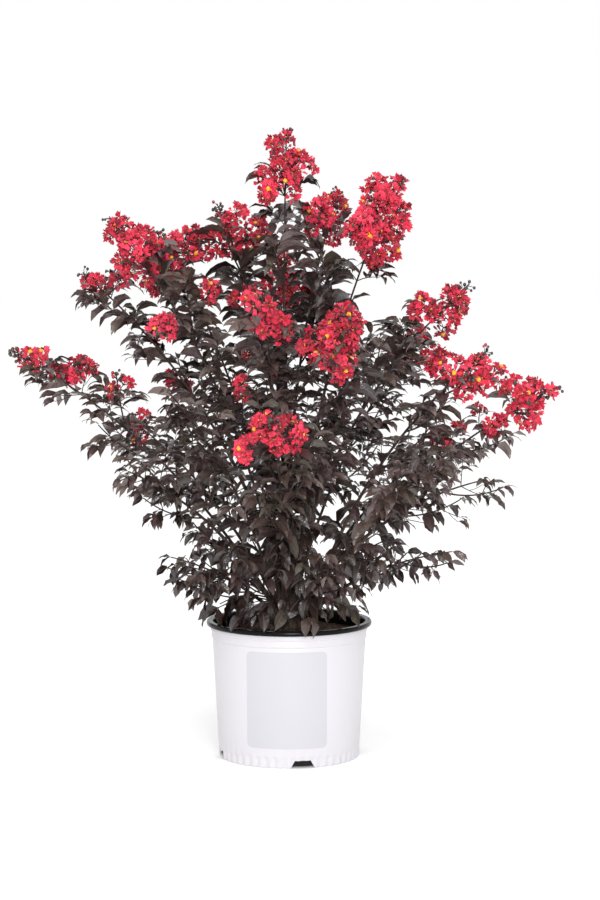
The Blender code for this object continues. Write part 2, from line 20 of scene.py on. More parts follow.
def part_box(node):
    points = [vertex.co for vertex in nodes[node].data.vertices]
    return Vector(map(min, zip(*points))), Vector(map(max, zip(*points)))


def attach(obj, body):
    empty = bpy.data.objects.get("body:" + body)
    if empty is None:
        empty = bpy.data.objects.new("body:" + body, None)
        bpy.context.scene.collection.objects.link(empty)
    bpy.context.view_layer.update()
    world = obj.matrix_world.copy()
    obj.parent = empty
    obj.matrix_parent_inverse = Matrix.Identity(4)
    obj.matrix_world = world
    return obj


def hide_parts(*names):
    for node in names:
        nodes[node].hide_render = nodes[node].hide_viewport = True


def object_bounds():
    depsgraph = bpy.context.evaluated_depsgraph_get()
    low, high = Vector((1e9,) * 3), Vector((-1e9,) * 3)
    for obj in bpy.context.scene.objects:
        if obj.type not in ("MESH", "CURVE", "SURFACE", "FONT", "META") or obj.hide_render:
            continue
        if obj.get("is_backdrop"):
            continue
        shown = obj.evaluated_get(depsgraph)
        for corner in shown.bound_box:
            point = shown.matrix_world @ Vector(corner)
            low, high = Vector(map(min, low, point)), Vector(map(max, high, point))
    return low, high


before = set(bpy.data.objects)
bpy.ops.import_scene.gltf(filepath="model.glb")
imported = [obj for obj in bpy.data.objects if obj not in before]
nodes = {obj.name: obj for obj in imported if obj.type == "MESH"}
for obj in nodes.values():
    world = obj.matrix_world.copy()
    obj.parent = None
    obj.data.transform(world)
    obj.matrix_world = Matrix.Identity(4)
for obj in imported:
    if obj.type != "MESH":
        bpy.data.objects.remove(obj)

MM = 0.001
UP = Vector((0, 0, 1))
cad_box = [list(corner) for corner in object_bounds()]
print(len(nodes), "solids in the frame")

# %% [markdown]
# Colours are picked on a screen as sRGB hex values, but a shader mixes light, which is linear.
# One function turns the first into the second, so that no colour is guessed twice. Its numbers
# are those of the sRGB standard. A second small function adds any node, so that a material reads
# as a list of what it is made of.

# %% Colours and shader nodes
def linear(hex_colour):
    """A hex sRGB colour as linear red, green, blue and 1."""
    screen = [int(hex_colour[start:start + 2], 16) / 255 for start in (1, 3, 5)]
    light = [c / 12.92 if c <= 0.04045 else ((c + 0.055) / 1.055) ** 2.4 for c in screen]
    return (*light, 1)


def add(material, kind, inputs=None, links=None, **settings):
    """Adds a shader node: settings on the node, values on its inputs, links from other outputs."""
    tree = material.node_tree
    node = tree.nodes.new("ShaderNode" + kind)
    for name, value in settings.items():
        setattr(node, name, value)
    for name, value in (inputs or {}).items():
        node.inputs[name].default_value = value
    for name, output in (links or {}).items():
        tree.links.new(output, node.inputs[name])
    return node


def surface(name, **inputs):
    """A new material with one Principled shader, and that shader."""
    material = bpy.data.materials.new(name)
    material.use_nodes = True
    shader = material.node_tree.nodes["Principled BSDF"]
    for key, value in inputs.items():
        shader.inputs[key.replace("_", " ")].default_value = value
    return material, shader


def join(material, output, socket):
    material.node_tree.links.new(output, socket)


# %% [markdown]
# The photograph is a catalogue picture: a seamless white sweep, soft light from all round, and a
# camera a little above the leaves' middle that looks slightly down. A long lens far away keeps
# the pot's ellipses narrow. The sweep is a plain floor under a white sky, bright enough to burn
# out to white everywhere but in the pot's own soft shadow. The paper glows very faintly, which
# lifts the last grey from it. Three large square lamps shape the plant: one over it, one by the
# camera that brings out the bloom, and a weak one behind.

# %% Floor, sky and light
scene = bpy.context.scene
scene.view_settings.view_transform = "Standard"
FLOOR_SIDE = 60.0
SKY = "#ffffff"
SKY_STRENGTH = 1.0
PAPER_GLOW = 0.035

bpy.ops.mesh.primitive_plane_add(size=FLOOR_SIDE)
floor = bpy.context.object
floor.name = "floor"
paper, _ = surface(
    "white_paper",
    Base_Color=linear("#ffffff"),
    Roughness=1.0,
    Emission_Color=linear("#ffffff"),
    Emission_Strength=PAPER_GLOW,
)
floor.data.materials.append(paper)
floor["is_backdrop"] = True

world = bpy.data.worlds.new("white_sweep")
world.use_nodes = True
world.node_tree.nodes["Background"].inputs["Color"].default_value = linear(SKY)
world.node_tree.nodes["Background"].inputs["Strength"].default_value = SKY_STRENGTH
scene.world = world


def soft_box(name, place, aim, side, watts):
    """A square area light at place, turned to aim."""
    lamp = bpy.data.lights.new(name, "AREA")
    lamp.size = side
    lamp.energy = watts
    holder = bpy.data.objects.new(name, lamp)
    holder.location = place
    holder.rotation_euler = (Vector(aim) - Vector(place)).to_track_quat("-Z", "Y").to_euler()
    scene.collection.objects.link(holder)


PLANT_MIDDLE = (0, 0, 0.55)
soft_box("overhead", place=(0, -1.4, 3.3), aim=(0, -0.3, 0), side=2.4, watts=30)
soft_box("front", place=(0.30, -3.9, 1.3), aim=PLANT_MIDDLE, side=1.0, watts=82)
soft_box("back", place=(0.2, 2.6, 2.8), aim=PLANT_MIDDLE, side=2.4, watts=4)

# %% [markdown]
# The camera stands where the photograph's stood. How flat the ellipses of the pot's lip and foot
# look gives its height and its tilt, and their two sizes give its distance. The lens and the
# sensor are in millimetres, as Blender takes them.

# %% Camera
CAMERA_PLACE = (0.0185, -4.2, 0.875)
CAMERA_DOWN = math.radians(4.83)
LENS = 100
SENSOR = 36

lens = bpy.data.cameras.new("camera")
lens.lens = LENS
lens.sensor_width = SENSOR
camera = bpy.data.objects.new("camera", lens)
camera.location = CAMERA_PLACE
camera.rotation_euler = (math.pi / 2 - CAMERA_DOWN, 0, 0)
scene.collection.objects.link(camera)
scene.camera = camera
print("camera", round(-CAMERA_PLACE[1], 2), "m in front of the pot's axis")

# %% [markdown]
# A moulded nursery pot is polypropylene: a satin plastic that copies the fine spark-eroded
# texture of its steel mould. It scatters light softly and shows no grain, so the material is one
# colour with a very fine bump and a roughness that drifts a little over the wall, where hands
# and hoses have polished it.

# %% Polypropylene, white and black
POLYPROPYLENE_IOR = 1.49
MOULD_TEXTURE = 0.7 * MM
HANDLING_PATCH = 45 * MM
MOULD_BUMP = 0.25


def polypropylene(name, colour, rough, rougher, relief, gloss=0.5):
    material, shader = surface(
        name, Base_Color=linear(colour), IOR=POLYPROPYLENE_IOR, Specular_IOR_Level=gloss
    )
    place = add(material, "TexCoord").outputs["Object"]
    grain = add(material, "TexNoise", {"Scale": 1 / MOULD_TEXTURE, "Detail": 2}, {"Vector": place})
    patch = add(material, "TexNoise", {"Scale": 1 / HANDLING_PATCH, "Detail": 4}, {"Vector": place})
    worn = add(
        material, "MapRange", {"To Min": rough, "To Max": rougher}, {"Value": patch.outputs["Fac"]}
    )
    bump = add(
        material,
        "Bump",
        {"Strength": MOULD_BUMP, "Distance": relief},
        {"Height": grain.outputs["Fac"]},
    )
    join(material, worn.outputs["Result"], shader.inputs["Roughness"])
    join(material, bump.outputs["Normal"], shader.inputs["Normal"])
    return material


white_polypropylene = polypropylene(
    "white_polypropylene", "#c9c6cb", rough=0.34, rougher=0.50, relief=0.02 * MM
)
black_polypropylene = polypropylene(
    "black_polypropylene", "#060606", rough=0.18, rougher=0.30, relief=0.01 * MM, gloss=0.14
)
print("plastics:", white_polypropylene.name, "and", black_polypropylene.name)

# %% [markdown]
# Potting mix is composted pine bark with a little peat. It is matt and dark because it is damp,
# and it is made of chips from a few millimetres up to a fingernail, so a cell pattern gives each
# chip its own brown and a bump rounds it off.

# %% Composted bark
CHIP = 6 * MM
CHIP_RELIEF = 2 * MM
CRUMBS_IN_CHIP = 3


def composted_bark(name, dark, pale, roughness):
    material, shader = surface(name, Roughness=roughness)
    place = add(material, "TexCoord").outputs["Object"]
    chips = add(material, "TexVoronoi", {"Scale": 1 / CHIP}, {"Vector": place})
    crumbs = add(
        material, "TexNoise", {"Scale": CRUMBS_IN_CHIP / CHIP, "Detail": 6}, {"Vector": place}
    )
    browns = add(material, "ValToRGB", None, {"Fac": chips.outputs["Color"]})
    browns.color_ramp.elements[0].color = linear(dark)
    browns.color_ramp.elements[1].color = linear(pale)
    height = add(
        material,
        "Math",
        None,
        {0: crumbs.outputs["Fac"], 1: chips.outputs["Distance"]},
        operation="SUBTRACT",
    )
    bump = add(
        material,
        "Bump",
        {"Strength": 0.8, "Distance": CHIP_RELIEF},
        {"Height": height.outputs["Value"]},
    )
    join(material, browns.outputs["Color"], shader.inputs["Base Color"])
    join(material, bump.outputs["Normal"], shader.inputs["Normal"])
    return material


compost = composted_bark("composted_bark", dark="#21150f", pale="#67472f", roughness=0.92)
# Below the rough top the mix is near black: painted shade for the inside of the pot, seen through the
# notches.
wet_compost = composted_bark("wet_compost", dark="#070505", pale="#140d0a", roughness=0.60)
print("mix:", compost.name, "on top and", wet_compost.name, "below")

# %% [markdown]
# Young crape myrtle bark is smooth and peels in long thin flakes, grey-brown over a paler tan.
# The flakes run along the limb. Limbs here stand mostly upright, so a noise stretched along Z
# gives streaks that follow them closely enough, and a finer one gives the dry surface.

# %% Bark and twig rind
FLAKE_WIDTH = 5 * MM
FLAKE_LENGTH = 40 * MM
FLAKE_RELIEF = 0.4 * MM
FLAKE_EDGES = (0.40, 0.66)


def peeling_bark(name, dark, pale):
    material, shader = surface(name, Roughness=0.78)
    place = add(material, "TexCoord").outputs["Object"]
    stretch = add(material, "Mapping", None, {"Vector": place})
    stretch.inputs["Scale"].default_value = (1 / FLAKE_WIDTH, 1 / FLAKE_WIDTH, 1 / FLAKE_LENGTH)
    flakes = add(
        material, "TexNoise", {"Scale": 1, "Detail": 5}, {"Vector": stretch.outputs["Vector"]}
    )
    tones = add(material, "ValToRGB", None, {"Fac": flakes.outputs["Fac"]})
    for stop, position, colour in zip(tones.color_ramp.elements, FLAKE_EDGES, (dark, pale)):
        stop.position = position
        stop.color = linear(colour)
    bump = add(
        material,
        "Bump",
        {"Strength": 0.5, "Distance": FLAKE_RELIEF},
        {"Height": flakes.outputs["Fac"]},
    )
    join(material, tones.outputs["Color"], shader.inputs["Base Color"])
    join(material, bump.outputs["Normal"], shader.inputs["Normal"])
    return material


limb_bark = peeling_bark("limb_bark", dark="#2e221e", pale="#604c40")
twig_rind = peeling_bark("twig_rind", dark="#211615", pale="#422b27")
print("barks:", limb_bark.name, "and", twig_rind.name)

# %% [markdown]
# The leaf of this dark form is leathery, with a thin wax coat: nearly black-brown from most
# sides, and pale where it mirrors the sky. Its tint differs from spray to spray, from olive on
# the young growth to wine on the old. Each spray takes one plain base colour from a short list.
# The palest, greyest tint is a painted sheen. Low in the shrub the darkest tint is dealt out
# more often, as painted shade.
# The blade is puckered between its side veins, so its highlight comes in patches and never as one
# flat sheen: a wide noise swells the surface. On that a fine bump breaks the highlight again, as
# the net of veins does. The net is drawn a little coarser than the real one, which is too fine to
# show. The midrib is paler and duller than the blade.

# %% Leaf blades and midribs
LEAF_IOR = 1.45
WAX_GLOSS = 0.85
VEIN_NET = 2.5 * MM
VEIN_RELIEF = 0.4 * MM
PUCKER = 7 * MM
PUCKER_RELIEF = 2.0 * MM


def leaf_skin(name, colour, roughness):
    material, shader = surface(
        name,
        Base_Color=linear(colour),
        IOR=LEAF_IOR,
        Roughness=roughness,
        Specular_IOR_Level=WAX_GLOSS,
    )
    place = add(material, "TexCoord").outputs["Object"]
    pucker = add(material, "TexNoise", {"Scale": 1 / PUCKER, "Detail": 2}, {"Vector": place})
    swell = add(
        material,
        "Bump",
        {"Strength": 0.8, "Distance": PUCKER_RELIEF},
        {"Height": pucker.outputs["Fac"]},
    )
    net = add(material, "TexVoronoi", {"Scale": 1 / VEIN_NET}, {"Vector": place})
    bump = add(
        material,
        "Bump",
        {"Strength": 0.5, "Distance": VEIN_RELIEF},
        {"Height": net.outputs["Distance"], "Normal": swell.outputs["Normal"]},
    )
    join(material, bump.outputs["Normal"], shader.inputs["Normal"])
    return material


LEAF_TINTS = (
    ("leaf_black_brown", "#241917", 0.28),
    ("leaf_umber", "#46362f", 0.31),
    ("leaf_purple_brown", "#483736", 0.29),
    ("leaf_olive", "#3f382d", 0.31),
    ("leaf_wine", "#493334", 0.32),
    # The palest tint is a painted sheen on the leaf.
    ("leaf_dusty", "#61514c", 0.28),
)
TINT_WEIGHTS = (20, 25, 23, 9, 6, 17)
# Below this height the darkest tint is dealt out more often: painted shade low in the shrub.
PAINTED_SHADE_TINT_WEIGHTS = (50, 20, 12, 8, 4, 6)
PAINTED_SHADE_BELOW = 0.44
leaf_materials = [leaf_skin(*tint) for tint in LEAF_TINTS]
leaf_materials.append(leaf_skin("leaf_midrib", "#564541", 0.42))
MIDRIB_SLOT = len(LEAF_TINTS)
print(len(LEAF_TINTS), "leaf tints and a midrib")

# %% [markdown]
# A petal is thin crinkled tissue. It has no wax, so it is matt with a soft velvety sheen, and
# light that passes through it makes the whole panicle glow. Four crimsons are dealt out by
# flower, petal and fold. Fresh and open are the petals' own tones. The lightest is a painted
# highlight for lit crepe, and the darkest is painted shade for crepe folded under. Stamens are
# golden with a dusting of pollen. A bud's skin is waxy like a leaf's, so it takes the leaf's
# material in its own colours.

# %% Petals, stamens and buds
PETAL_TINTS = (
    ("petal_lit", "#e23355"),
    ("petal_fresh", "#d31a3e"),
    ("petal_open", "#b80e31"),
    ("petal_folded", "#800624"),
)
PETAL_CRINKLE = 3 * MM
CRINKLE_RELIEF = 0.6 * MM


def petal_tissue(name, colour):
    material, shader = surface(
        name, Base_Color=linear(colour), Roughness=0.6, Sheen_Weight=0.15
    )
    place = add(material, "TexCoord").outputs["Object"]
    crinkle = add(
        material, "TexNoise", {"Scale": 1 / PETAL_CRINKLE, "Detail": 3}, {"Vector": place}
    )
    bump = add(
        material,
        "Bump",
        {"Strength": 0.5, "Distance": CRINKLE_RELIEF},
        {"Height": crinkle.outputs["Fac"]},
    )
    join(material, bump.outputs["Normal"], shader.inputs["Normal"])
    return material


petal_materials = [petal_tissue(*tint) for tint in PETAL_TINTS]
pollen = petal_tissue("pollen_gold", "#f4a81c")
BUD_TINTS = (("bud_green", "#2b2c22"), ("bud_burgundy", "#3d1720"), ("bud_crimson", "#a3152c"))
BUD_ROUGHNESS = 0.35
bud_materials = [leaf_skin(name, colour, BUD_ROUGHNESS) for name, colour in BUD_TINTS]
print(len(PETAL_TINTS), "petal tints,", len(BUD_TINTS), "bud tints")

# %% [markdown]
# Thousands of small things are cheapest as a few large meshes. Each kind is worked out as arrays
# of points and joined, so one function turns arrays into an object that rides on the model.

# %% From arrays to pieces
def piece(name, points, faces, materials, slot, tints=None, smooth=True):
    """One joined mesh from an array of points and an array of three- or four-cornered faces."""
    mesh = bpy.data.meshes.new(name)
    corners = faces.shape[1]
    mesh.vertices.add(len(points))
    mesh.vertices.foreach_set("co", points.astype(np.float32).ravel())
    mesh.loops.add(faces.size)
    mesh.loops.foreach_set("vertex_index", faces.astype(np.int32).ravel())
    mesh.polygons.add(len(faces))
    mesh.polygons.foreach_set("loop_start", np.arange(0, faces.size, corners, dtype=np.int32))
    if tints is not None:
        mesh.polygons.foreach_set("material_index", tints.astype(np.int32))
    mesh.update(calc_edges=True)
    return place_mesh(name, mesh, materials, smooth)


def place_mesh(name, mesh, materials, smooth=True):
    """Puts a mesh in the scene as a piece that rides on the model."""
    mesh.validate()
    for material in materials:
        mesh.materials.append(material)
    if smooth:
        mesh.shade_smooth()
    made = bpy.data.objects.new(name, mesh)
    scene.collection.objects.link(made)
    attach(made, "root")
    triangles = sum(len(face.vertices) - 2 for face in mesh.polygons)
    print(name, triangles, "triangles")
    return made


def grid_faces(rows, columns, closed=False):
    """Four-cornered faces between the points of a grid, joined round its rows if closed."""
    across = columns if closed else columns - 1
    row, column = np.meshgrid(np.arange(rows - 1), np.arange(across), indexing="ij")
    after = (column + 1) % columns
    first = row * columns
    second = first + columns
    corners = (first + column, first + after, second + after, second + column)
    return np.stack(corners, -1).reshape(-1, 4)


def closing_faces(rows, columns):
    """Faces from the last row of a closed grid back to its first."""
    column = np.arange(columns)
    after = (column + 1) % columns
    last = (rows - 1) * columns
    return np.stack((last + column, last + after, after, column), -1)


def copies(count, faces, points_each):
    """The same faces for each of many copies of a thing."""
    starts = np.arange(count)[:, None, None] * points_each
    return (faces[None] + starts).reshape(-1, faces.shape[1])


# %% [markdown]
# The pot is a turned shape, so it starts as a grid: one row of points for each height of its
# profile, and one column for each step round. The sizes repeat those of the solids, and the
# frame gives the heights that other pieces have to meet.

# %% Pot sizes, as in the solids
wall_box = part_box("pot")
lip_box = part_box("pot_lip")
WALL = 2.0 * MM
FLOOR = 2.4 * MM
FOOT_RADIUS = 118.6 * MM
FLUTE_TOP_RADIUS = FOOT_RADIUS + 1.0 * MM
SHOULDER = (129.7 * MM, 203.0 * MM)
COLLAR_LOW_RADIUS = 131.2 * MM
COLLAR = (132.5 * MM, 215.8 * MM)
WALL_TOP = wall_box[1].z
LIP_RADIUS = lip_box[1].x
LIP_TOP = lip_box[1].z
LIP_BEAD = 8.0 * MM
FLUTES = 48
FLUTE_TOP = 20.5 * MM
FLUTE_DEPTH = 2.4 * MM
FLUTE_FADE = 6 * MM
FLUTE_NARROWING = 1.5
POT_COLUMNS = FLUTES * 6
print("lip", round(2 * LIP_RADIUS / MM), "mm across, top at", round(LIP_TOP / MM), "mm")


def eased(profile, step, fine_step=None):
    """Extra points along a profile, so that no span is longer than step.

    Where the flutes are, spans are no longer than fine_step.
    """
    points = [np.array(profile[0], float)]
    for first, second in zip(profile, profile[1:]):
        first, second = np.array(first, float), np.array(second, float)
        fluted = max(first[1], second[1]) <= FLUTE_TOP
        fluted &= min(first[0], second[0]) > FOOT_RADIUS - 4 * WALL
        length = np.linalg.norm(second - first)
        count = max(1, math.ceil(length / (fine_step if fine_step and fluted else step)))
        points += [first + (second - first) * (n + 1) / count for n in range(count)]
    return np.array(points)


def turned(profile, columns):
    """Points and faces of a profile turned round Z. The profile runs as a closed loop."""
    turns = np.arange(columns) * math.tau / columns
    radius, height = profile[:, 0][:, None], profile[:, 1][:, None]
    points = np.stack(
        [radius * np.cos(turns), radius * np.sin(turns), height + 0 * turns], -1
    ).reshape(-1, 3)
    faces = grid_faces(len(profile), columns, closed=True)[:, ::-1]
    return points, np.concatenate([faces, closing_faces(len(profile), columns)])


# %% [markdown]
# The wall's profile runs up the inside, over the rim and down the outside, with the soft bands
# and grooves of its stepped collar. It could be a curve with a Screw modifier. Arrays are used
# because the short rounded flutes round the foot need each point's turn and height: a cosine of
# the turn is taken off the radius, and fades out above them.

# %% White wall
INNER_RADIUS = 20 * MM
ROUND = 0.8 * MM
BAND_SWELL = 0.4 * MM
BAND_GROOVE = 0.7 * MM
wall_profile = (
    (INNER_RADIUS, FLOOR),
    (FOOT_RADIUS - 3 * WALL, FLOOR),
    (FOOT_RADIUS - WALL, FLOOR + 3 * MM),
    (FLUTE_TOP_RADIUS - WALL, FLUTE_TOP),
    (SHOULDER[0] - WALL, SHOULDER[1] - WALL),
    (COLLAR_LOW_RADIUS - WALL, SHOULDER[1] + ROUND),
    (COLLAR[0] - WALL, WALL_TOP),
    (COLLAR[0], WALL_TOP),
    (COLLAR[0], COLLAR[1] + 2.4 * MM),
    (COLLAR[0] + BAND_SWELL, COLLAR[1] + 1.2 * MM),
    (COLLAR[0] - 0.3 * MM, COLLAR[1] - 0.2 * MM),
    (COLLAR_LOW_RADIUS - BAND_GROOVE, COLLAR[1] - 1.4 * MM),
    (COLLAR_LOW_RADIUS, COLLAR[1] - 3.4 * MM),
    (COLLAR_LOW_RADIUS, SHOULDER[1] + 4.0 * MM),
    (COLLAR_LOW_RADIUS + BAND_SWELL, SHOULDER[1] + 2.6 * MM),
    (COLLAR_LOW_RADIUS - 0.3 * MM, SHOULDER[1] + 1.0 * MM),
    (SHOULDER[0] - BAND_GROOVE, SHOULDER[1] - 0.4 * MM),
    (SHOULDER[0] - 0.1 * MM, SHOULDER[1] - 2.6 * MM),
    (FLUTE_TOP_RADIUS, FLUTE_TOP),
    (FOOT_RADIUS + 0.2 * MM, 1.0 * MM),
    (FOOT_RADIUS - ROUND, 0),
    (INNER_RADIUS, 0),
)


def make_wall():
    """The fluted wall's points and faces."""
    profile = eased(wall_profile, step=30 * MM, fine_step=3 * MM)
    points, faces = turned(profile, POT_COLUMNS)
    radius = np.hypot(points[:, 0], points[:, 1])
    turn = np.arctan2(points[:, 1], points[:, 0])
    fluted = radius > FOOT_RADIUS - 2 * WALL
    fade = np.clip((FLUTE_TOP - points[:, 2]) / FLUTE_FADE, 0, 1)
    fade = fade * fade * (3 - 2 * fade)
    hollow = (0.5 - 0.5 * np.cos(FLUTES * turn)) ** FLUTE_NARROWING
    share = 1 - fluted * fade * hollow * FLUTE_DEPTH / radius
    points[:, :2] *= share[:, None]
    return points, faces


# %% [markdown]
# Water leaves a nursery pot through notches where its wall meets its floor. Here are four, and
# the photograph shows one at the front and one at the left. Each cutter is an outline with
# sloping sides and small shoulders, extruded across the wall. A Boolean with the exact solver
# takes it away, because the flutes' faces lie too close together for the fast one.

# %% Drain notches
FIRST_NOTCH = math.radians(281.5)
NOTCH_TURNS = [FIRST_NOTCH + quarter * math.pi / 2 for quarter in range(4)]
NOTCH_HEIGHT = 13.0 * MM
NOTCH_FOOT = 41.0 * MM
NOTCH_HEAD = 27.0 * MM
NOTCH_SHOULDER = 4.0 * MM
NOTCH_DEPTH = 14.0 * MM
NOTCH_BELOW = 5 * MM


def notch_cutter(turn):
    """A wedge as wide as one notch, with sloping sides."""
    shape = bmesh.new()
    outline = (
        (-NOTCH_FOOT / 2, -NOTCH_BELOW),
        (-NOTCH_FOOT / 2, 0),
        (-NOTCH_HEAD / 2 - NOTCH_SHOULDER / 2, NOTCH_HEIGHT - NOTCH_SHOULDER),
        (-NOTCH_HEAD / 2, NOTCH_HEIGHT),
        (NOTCH_HEAD / 2, NOTCH_HEIGHT),
        (NOTCH_HEAD / 2 + NOTCH_SHOULDER / 2, NOTCH_HEIGHT - NOTCH_SHOULDER),
        (NOTCH_FOOT / 2, 0),
        (NOTCH_FOOT / 2, -NOTCH_BELOW),
    )
    near = [shape.verts.new((FOOT_RADIUS - NOTCH_DEPTH, y, z)) for y, z in outline]
    face = shape.faces.new(near)
    grown = bmesh.ops.extrude_face_region(shape, geom=[face])["geom"]
    moved = [part for part in grown if isinstance(part, bmesh.types.BMVert)]
    bmesh.ops.translate(shape, verts=moved, vec=(2 * NOTCH_DEPTH, 0, 0))
    bmesh.ops.recalc_face_normals(shape, faces=shape.faces)
    bmesh.ops.rotate(shape, verts=shape.verts, matrix=Matrix.Rotation(turn, 3, "Z"))
    mesh = bpy.data.meshes.new("notch_cutter")
    shape.to_mesh(mesh)
    shape.free()
    cutter = bpy.data.objects.new("notch_cutter", mesh)
    scene.collection.objects.link(cutter)
    return cutter


points, faces = make_wall()
wall = piece("pot_wall", points, faces, [white_polypropylene], "pot_white")
for turn in NOTCH_TURNS:
    cutter = notch_cutter(turn)
    cut = wall.modifiers.new("notch", "BOOLEAN")
    cut.operation = "DIFFERENCE"
    cut.solver = "EXACT"
    cut.object = cutter
    with bpy.context.temp_override(object=wall, active_object=wall):
        bpy.ops.object.modifier_apply(modifier="notch")
    bpy.data.objects.remove(cutter)
wall.data.set_sharp_from_angle(angle=math.radians(40))
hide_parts("pot")
print("wall", len(wall.data.polygons), "faces with", len(NOTCH_TURNS), "notches")

# %% [markdown]
# The rolled lip is a second moulding, black and glossier. It hooks over the wall, and its bead is
# round outside with a shallow groove under its crest, which catches a thin line of light. It is
# turned from a profile as the wall is. The bead is an arc, squeezed a little from the side, with
# a narrow dip for the groove.

# %% Rolled lip
GAP = 0.4 * MM
LIP_LINING_FOOT = 206.0 * MM
LIP_THICKNESS = 1.6 * MM
BEAD_STEPS = 10
BEAD_SQUEEZE = 0.55
GROOVE_DEPTH = 0.35 * MM
GROOVE_STEP = 3.4
GROOVE_WIDTH = 0.7


def lip_profile():
    """The lip's profile: up the lining, round the bead, and back down between lining and wall."""
    inner_top = COLLAR[0] - WALL - GAP
    inner_low = COLLAR_LOW_RADIUS - WALL - GAP
    hook = COLLAR[0] + GAP
    bead = []
    for step in range(BEAD_STEPS + 1):
        turn = math.pi / 2 - math.pi * step / BEAD_STEPS
        groove = GROOVE_DEPTH * math.exp(-((step - GROOVE_STEP) / GROOVE_WIDTH) ** 2)
        radius = LIP_BEAD / 2 - groove
        out = LIP_RADIUS - LIP_BEAD / 2 * BEAD_SQUEEZE + radius * BEAD_SQUEEZE * math.cos(turn)
        bead.append((out, LIP_TOP - LIP_BEAD / 2 + radius * math.sin(turn)))
    return [
        (inner_low - LIP_THICKNESS, LIP_LINING_FOOT),
        (inner_top - LIP_THICKNESS, LIP_TOP - 2.2 * MM),
        (inner_top - 0.6 * MM, LIP_TOP - 0.5 * MM),
        *bead,
        (hook, LIP_TOP - LIP_BEAD),
        (hook, WALL_TOP + GAP),
        (inner_top, WALL_TOP + GAP),
        (inner_low, LIP_LINING_FOOT),
    ]


points, faces = turned(eased(lip_profile(), step=4 * MM), POT_COLUMNS)
lip = piece("pot_rolled_lip", points, faces, [black_polypropylene], "pot_black")
lip.data.set_sharp_from_angle(angle=math.radians(50))
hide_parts("pot_lip")

# %% [markdown]
# A bare label place shows on the front: a rounded panel that is a breath greyer and smoother than
# the wall. It could be a patch of another colour in the wall's material. It is a thin skin that
# lies just proud of the wall, curved and leaning with it, because a real panel has an edge.

# %% Blank label place
LABEL_MIDDLE_TURN = math.radians(268.3)
LABEL_HALF_WIDTH = 70.0 * MM
LABEL_LOW = 33.0 * MM
LABEL_HIGH = 196.0 * MM
LABEL_CORNER = 9.0 * MM
LABEL_PROUD = 0.12 * MM
LABEL_ROWS = 40
LABEL_COLUMNS = 36
label_white = polypropylene(
    "label_white", "#bab9be", rough=0.42, rougher=0.48, relief=0.005 * MM
)


def make_label():
    """A grid over the wall whose rows shorten near top and bottom, for the rounded corners."""
    height = (LABEL_HIGH - LABEL_LOW) / 2
    rise = np.sin(np.linspace(-math.pi / 2, math.pi / 2, LABEL_ROWS)) * height
    corner = np.clip(np.abs(rise) - (height - LABEL_CORNER), 0, LABEL_CORNER)
    half = LABEL_HALF_WIDTH - LABEL_CORNER + np.sqrt(LABEL_CORNER**2 - corner**2)
    z = (LABEL_LOW + LABEL_HIGH) / 2 + rise
    share = (z - FLUTE_TOP) / (SHOULDER[1] - ROUND - FLUTE_TOP)
    radius = FLUTE_TOP_RADIUS + (SHOULDER[0] - FLUTE_TOP_RADIUS) * share + LABEL_PROUD
    sideways = np.linspace(-1, 1, LABEL_COLUMNS)
    turn = LABEL_MIDDLE_TURN + half[:, None] * sideways / radius[:, None]
    points = np.stack(
        [radius[:, None] * np.cos(turn), radius[:, None] * np.sin(turn), z[:, None] + 0 * turn], -1
    )
    return points.reshape(-1, 3), grid_faces(LABEL_ROWS, LABEL_COLUMNS)


points, faces = make_label()
piece("pot_label_blank", points, faces, [label_white], "pot_white")

# %% [markdown]
# The mix fills the pot to a little under the lip and is crumbly on top. A displaced texture
# would do, but a mesh keeps its lumps in the export too. The surface is a fine disc lifted by
# noise at the size of its lumps and of its crumbs, and it sinks towards the wall.

# %% Potting mix
mix_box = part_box("potting_mix")
MIX_TOP = mix_box[1].z
MIX_RADIUS = mix_box[1].x
MIX_EDGE_DROP = 4.5 * MM
MIX_SETTLED = 1.2 * MM
MIX_LUMP = 14 * MM
LUMP_HEIGHT = 1.6 * MM
CRUMBS_IN_LUMP = 3.7
CRUMB_HEIGHT = 0.8 * MM
MIX_HOLE = 4 * MM
MIX_RINGS = 44
MIX_COLUMNS = 120


def mix_height(x, y):
    """How high the mix's rough surface is at a place."""
    edge = math.hypot(x, y) / MIX_RADIUS
    place = Vector((x / MIX_LUMP, y / MIX_LUMP, 0))
    lumps = noise.noise(place)
    crumbs = noise.noise(place * CRUMBS_IN_LUMP + Vector((0, 0, 5)))
    level = MIX_TOP - MIX_SETTLED - MIX_EDGE_DROP * edge**3
    return level + LUMP_HEIGHT * lumps + CRUMB_HEIGHT * crumbs


def make_mix():
    """The rough disc, closed below by a plain body that follows the pot's inside."""
    rings = np.linspace(MIX_HOLE, MIX_RADIUS - GAP, MIX_RINGS)
    turns = np.arange(MIX_COLUMNS) * math.tau / MIX_COLUMNS
    top = [
        (r * math.cos(t), r * math.sin(t), mix_height(r * math.cos(t), r * math.sin(t)))
        for r in rings
        for t in turns
    ]
    foot_radius = FOOT_RADIUS - WALL - 2 * GAP - 3 * MM
    shoulder_radius = SHOULDER[0] - WALL - 2 * GAP
    body = (
        (shoulder_radius, SHOULDER[1] - 2 * WALL),
        (foot_radius, FLOOR + GAP),
        (MIX_HOLE, FLOOR + GAP),
    )
    lower = [(r * math.cos(t), r * math.sin(t), z) for r, z in body for t in turns]
    rows = MIX_RINGS + len(body)
    faces = grid_faces(rows, MIX_COLUMNS, closed=True)
    return np.array(top + lower), np.concatenate([faces, closing_faces(rows, MIX_COLUMNS)])


points, faces = make_mix()
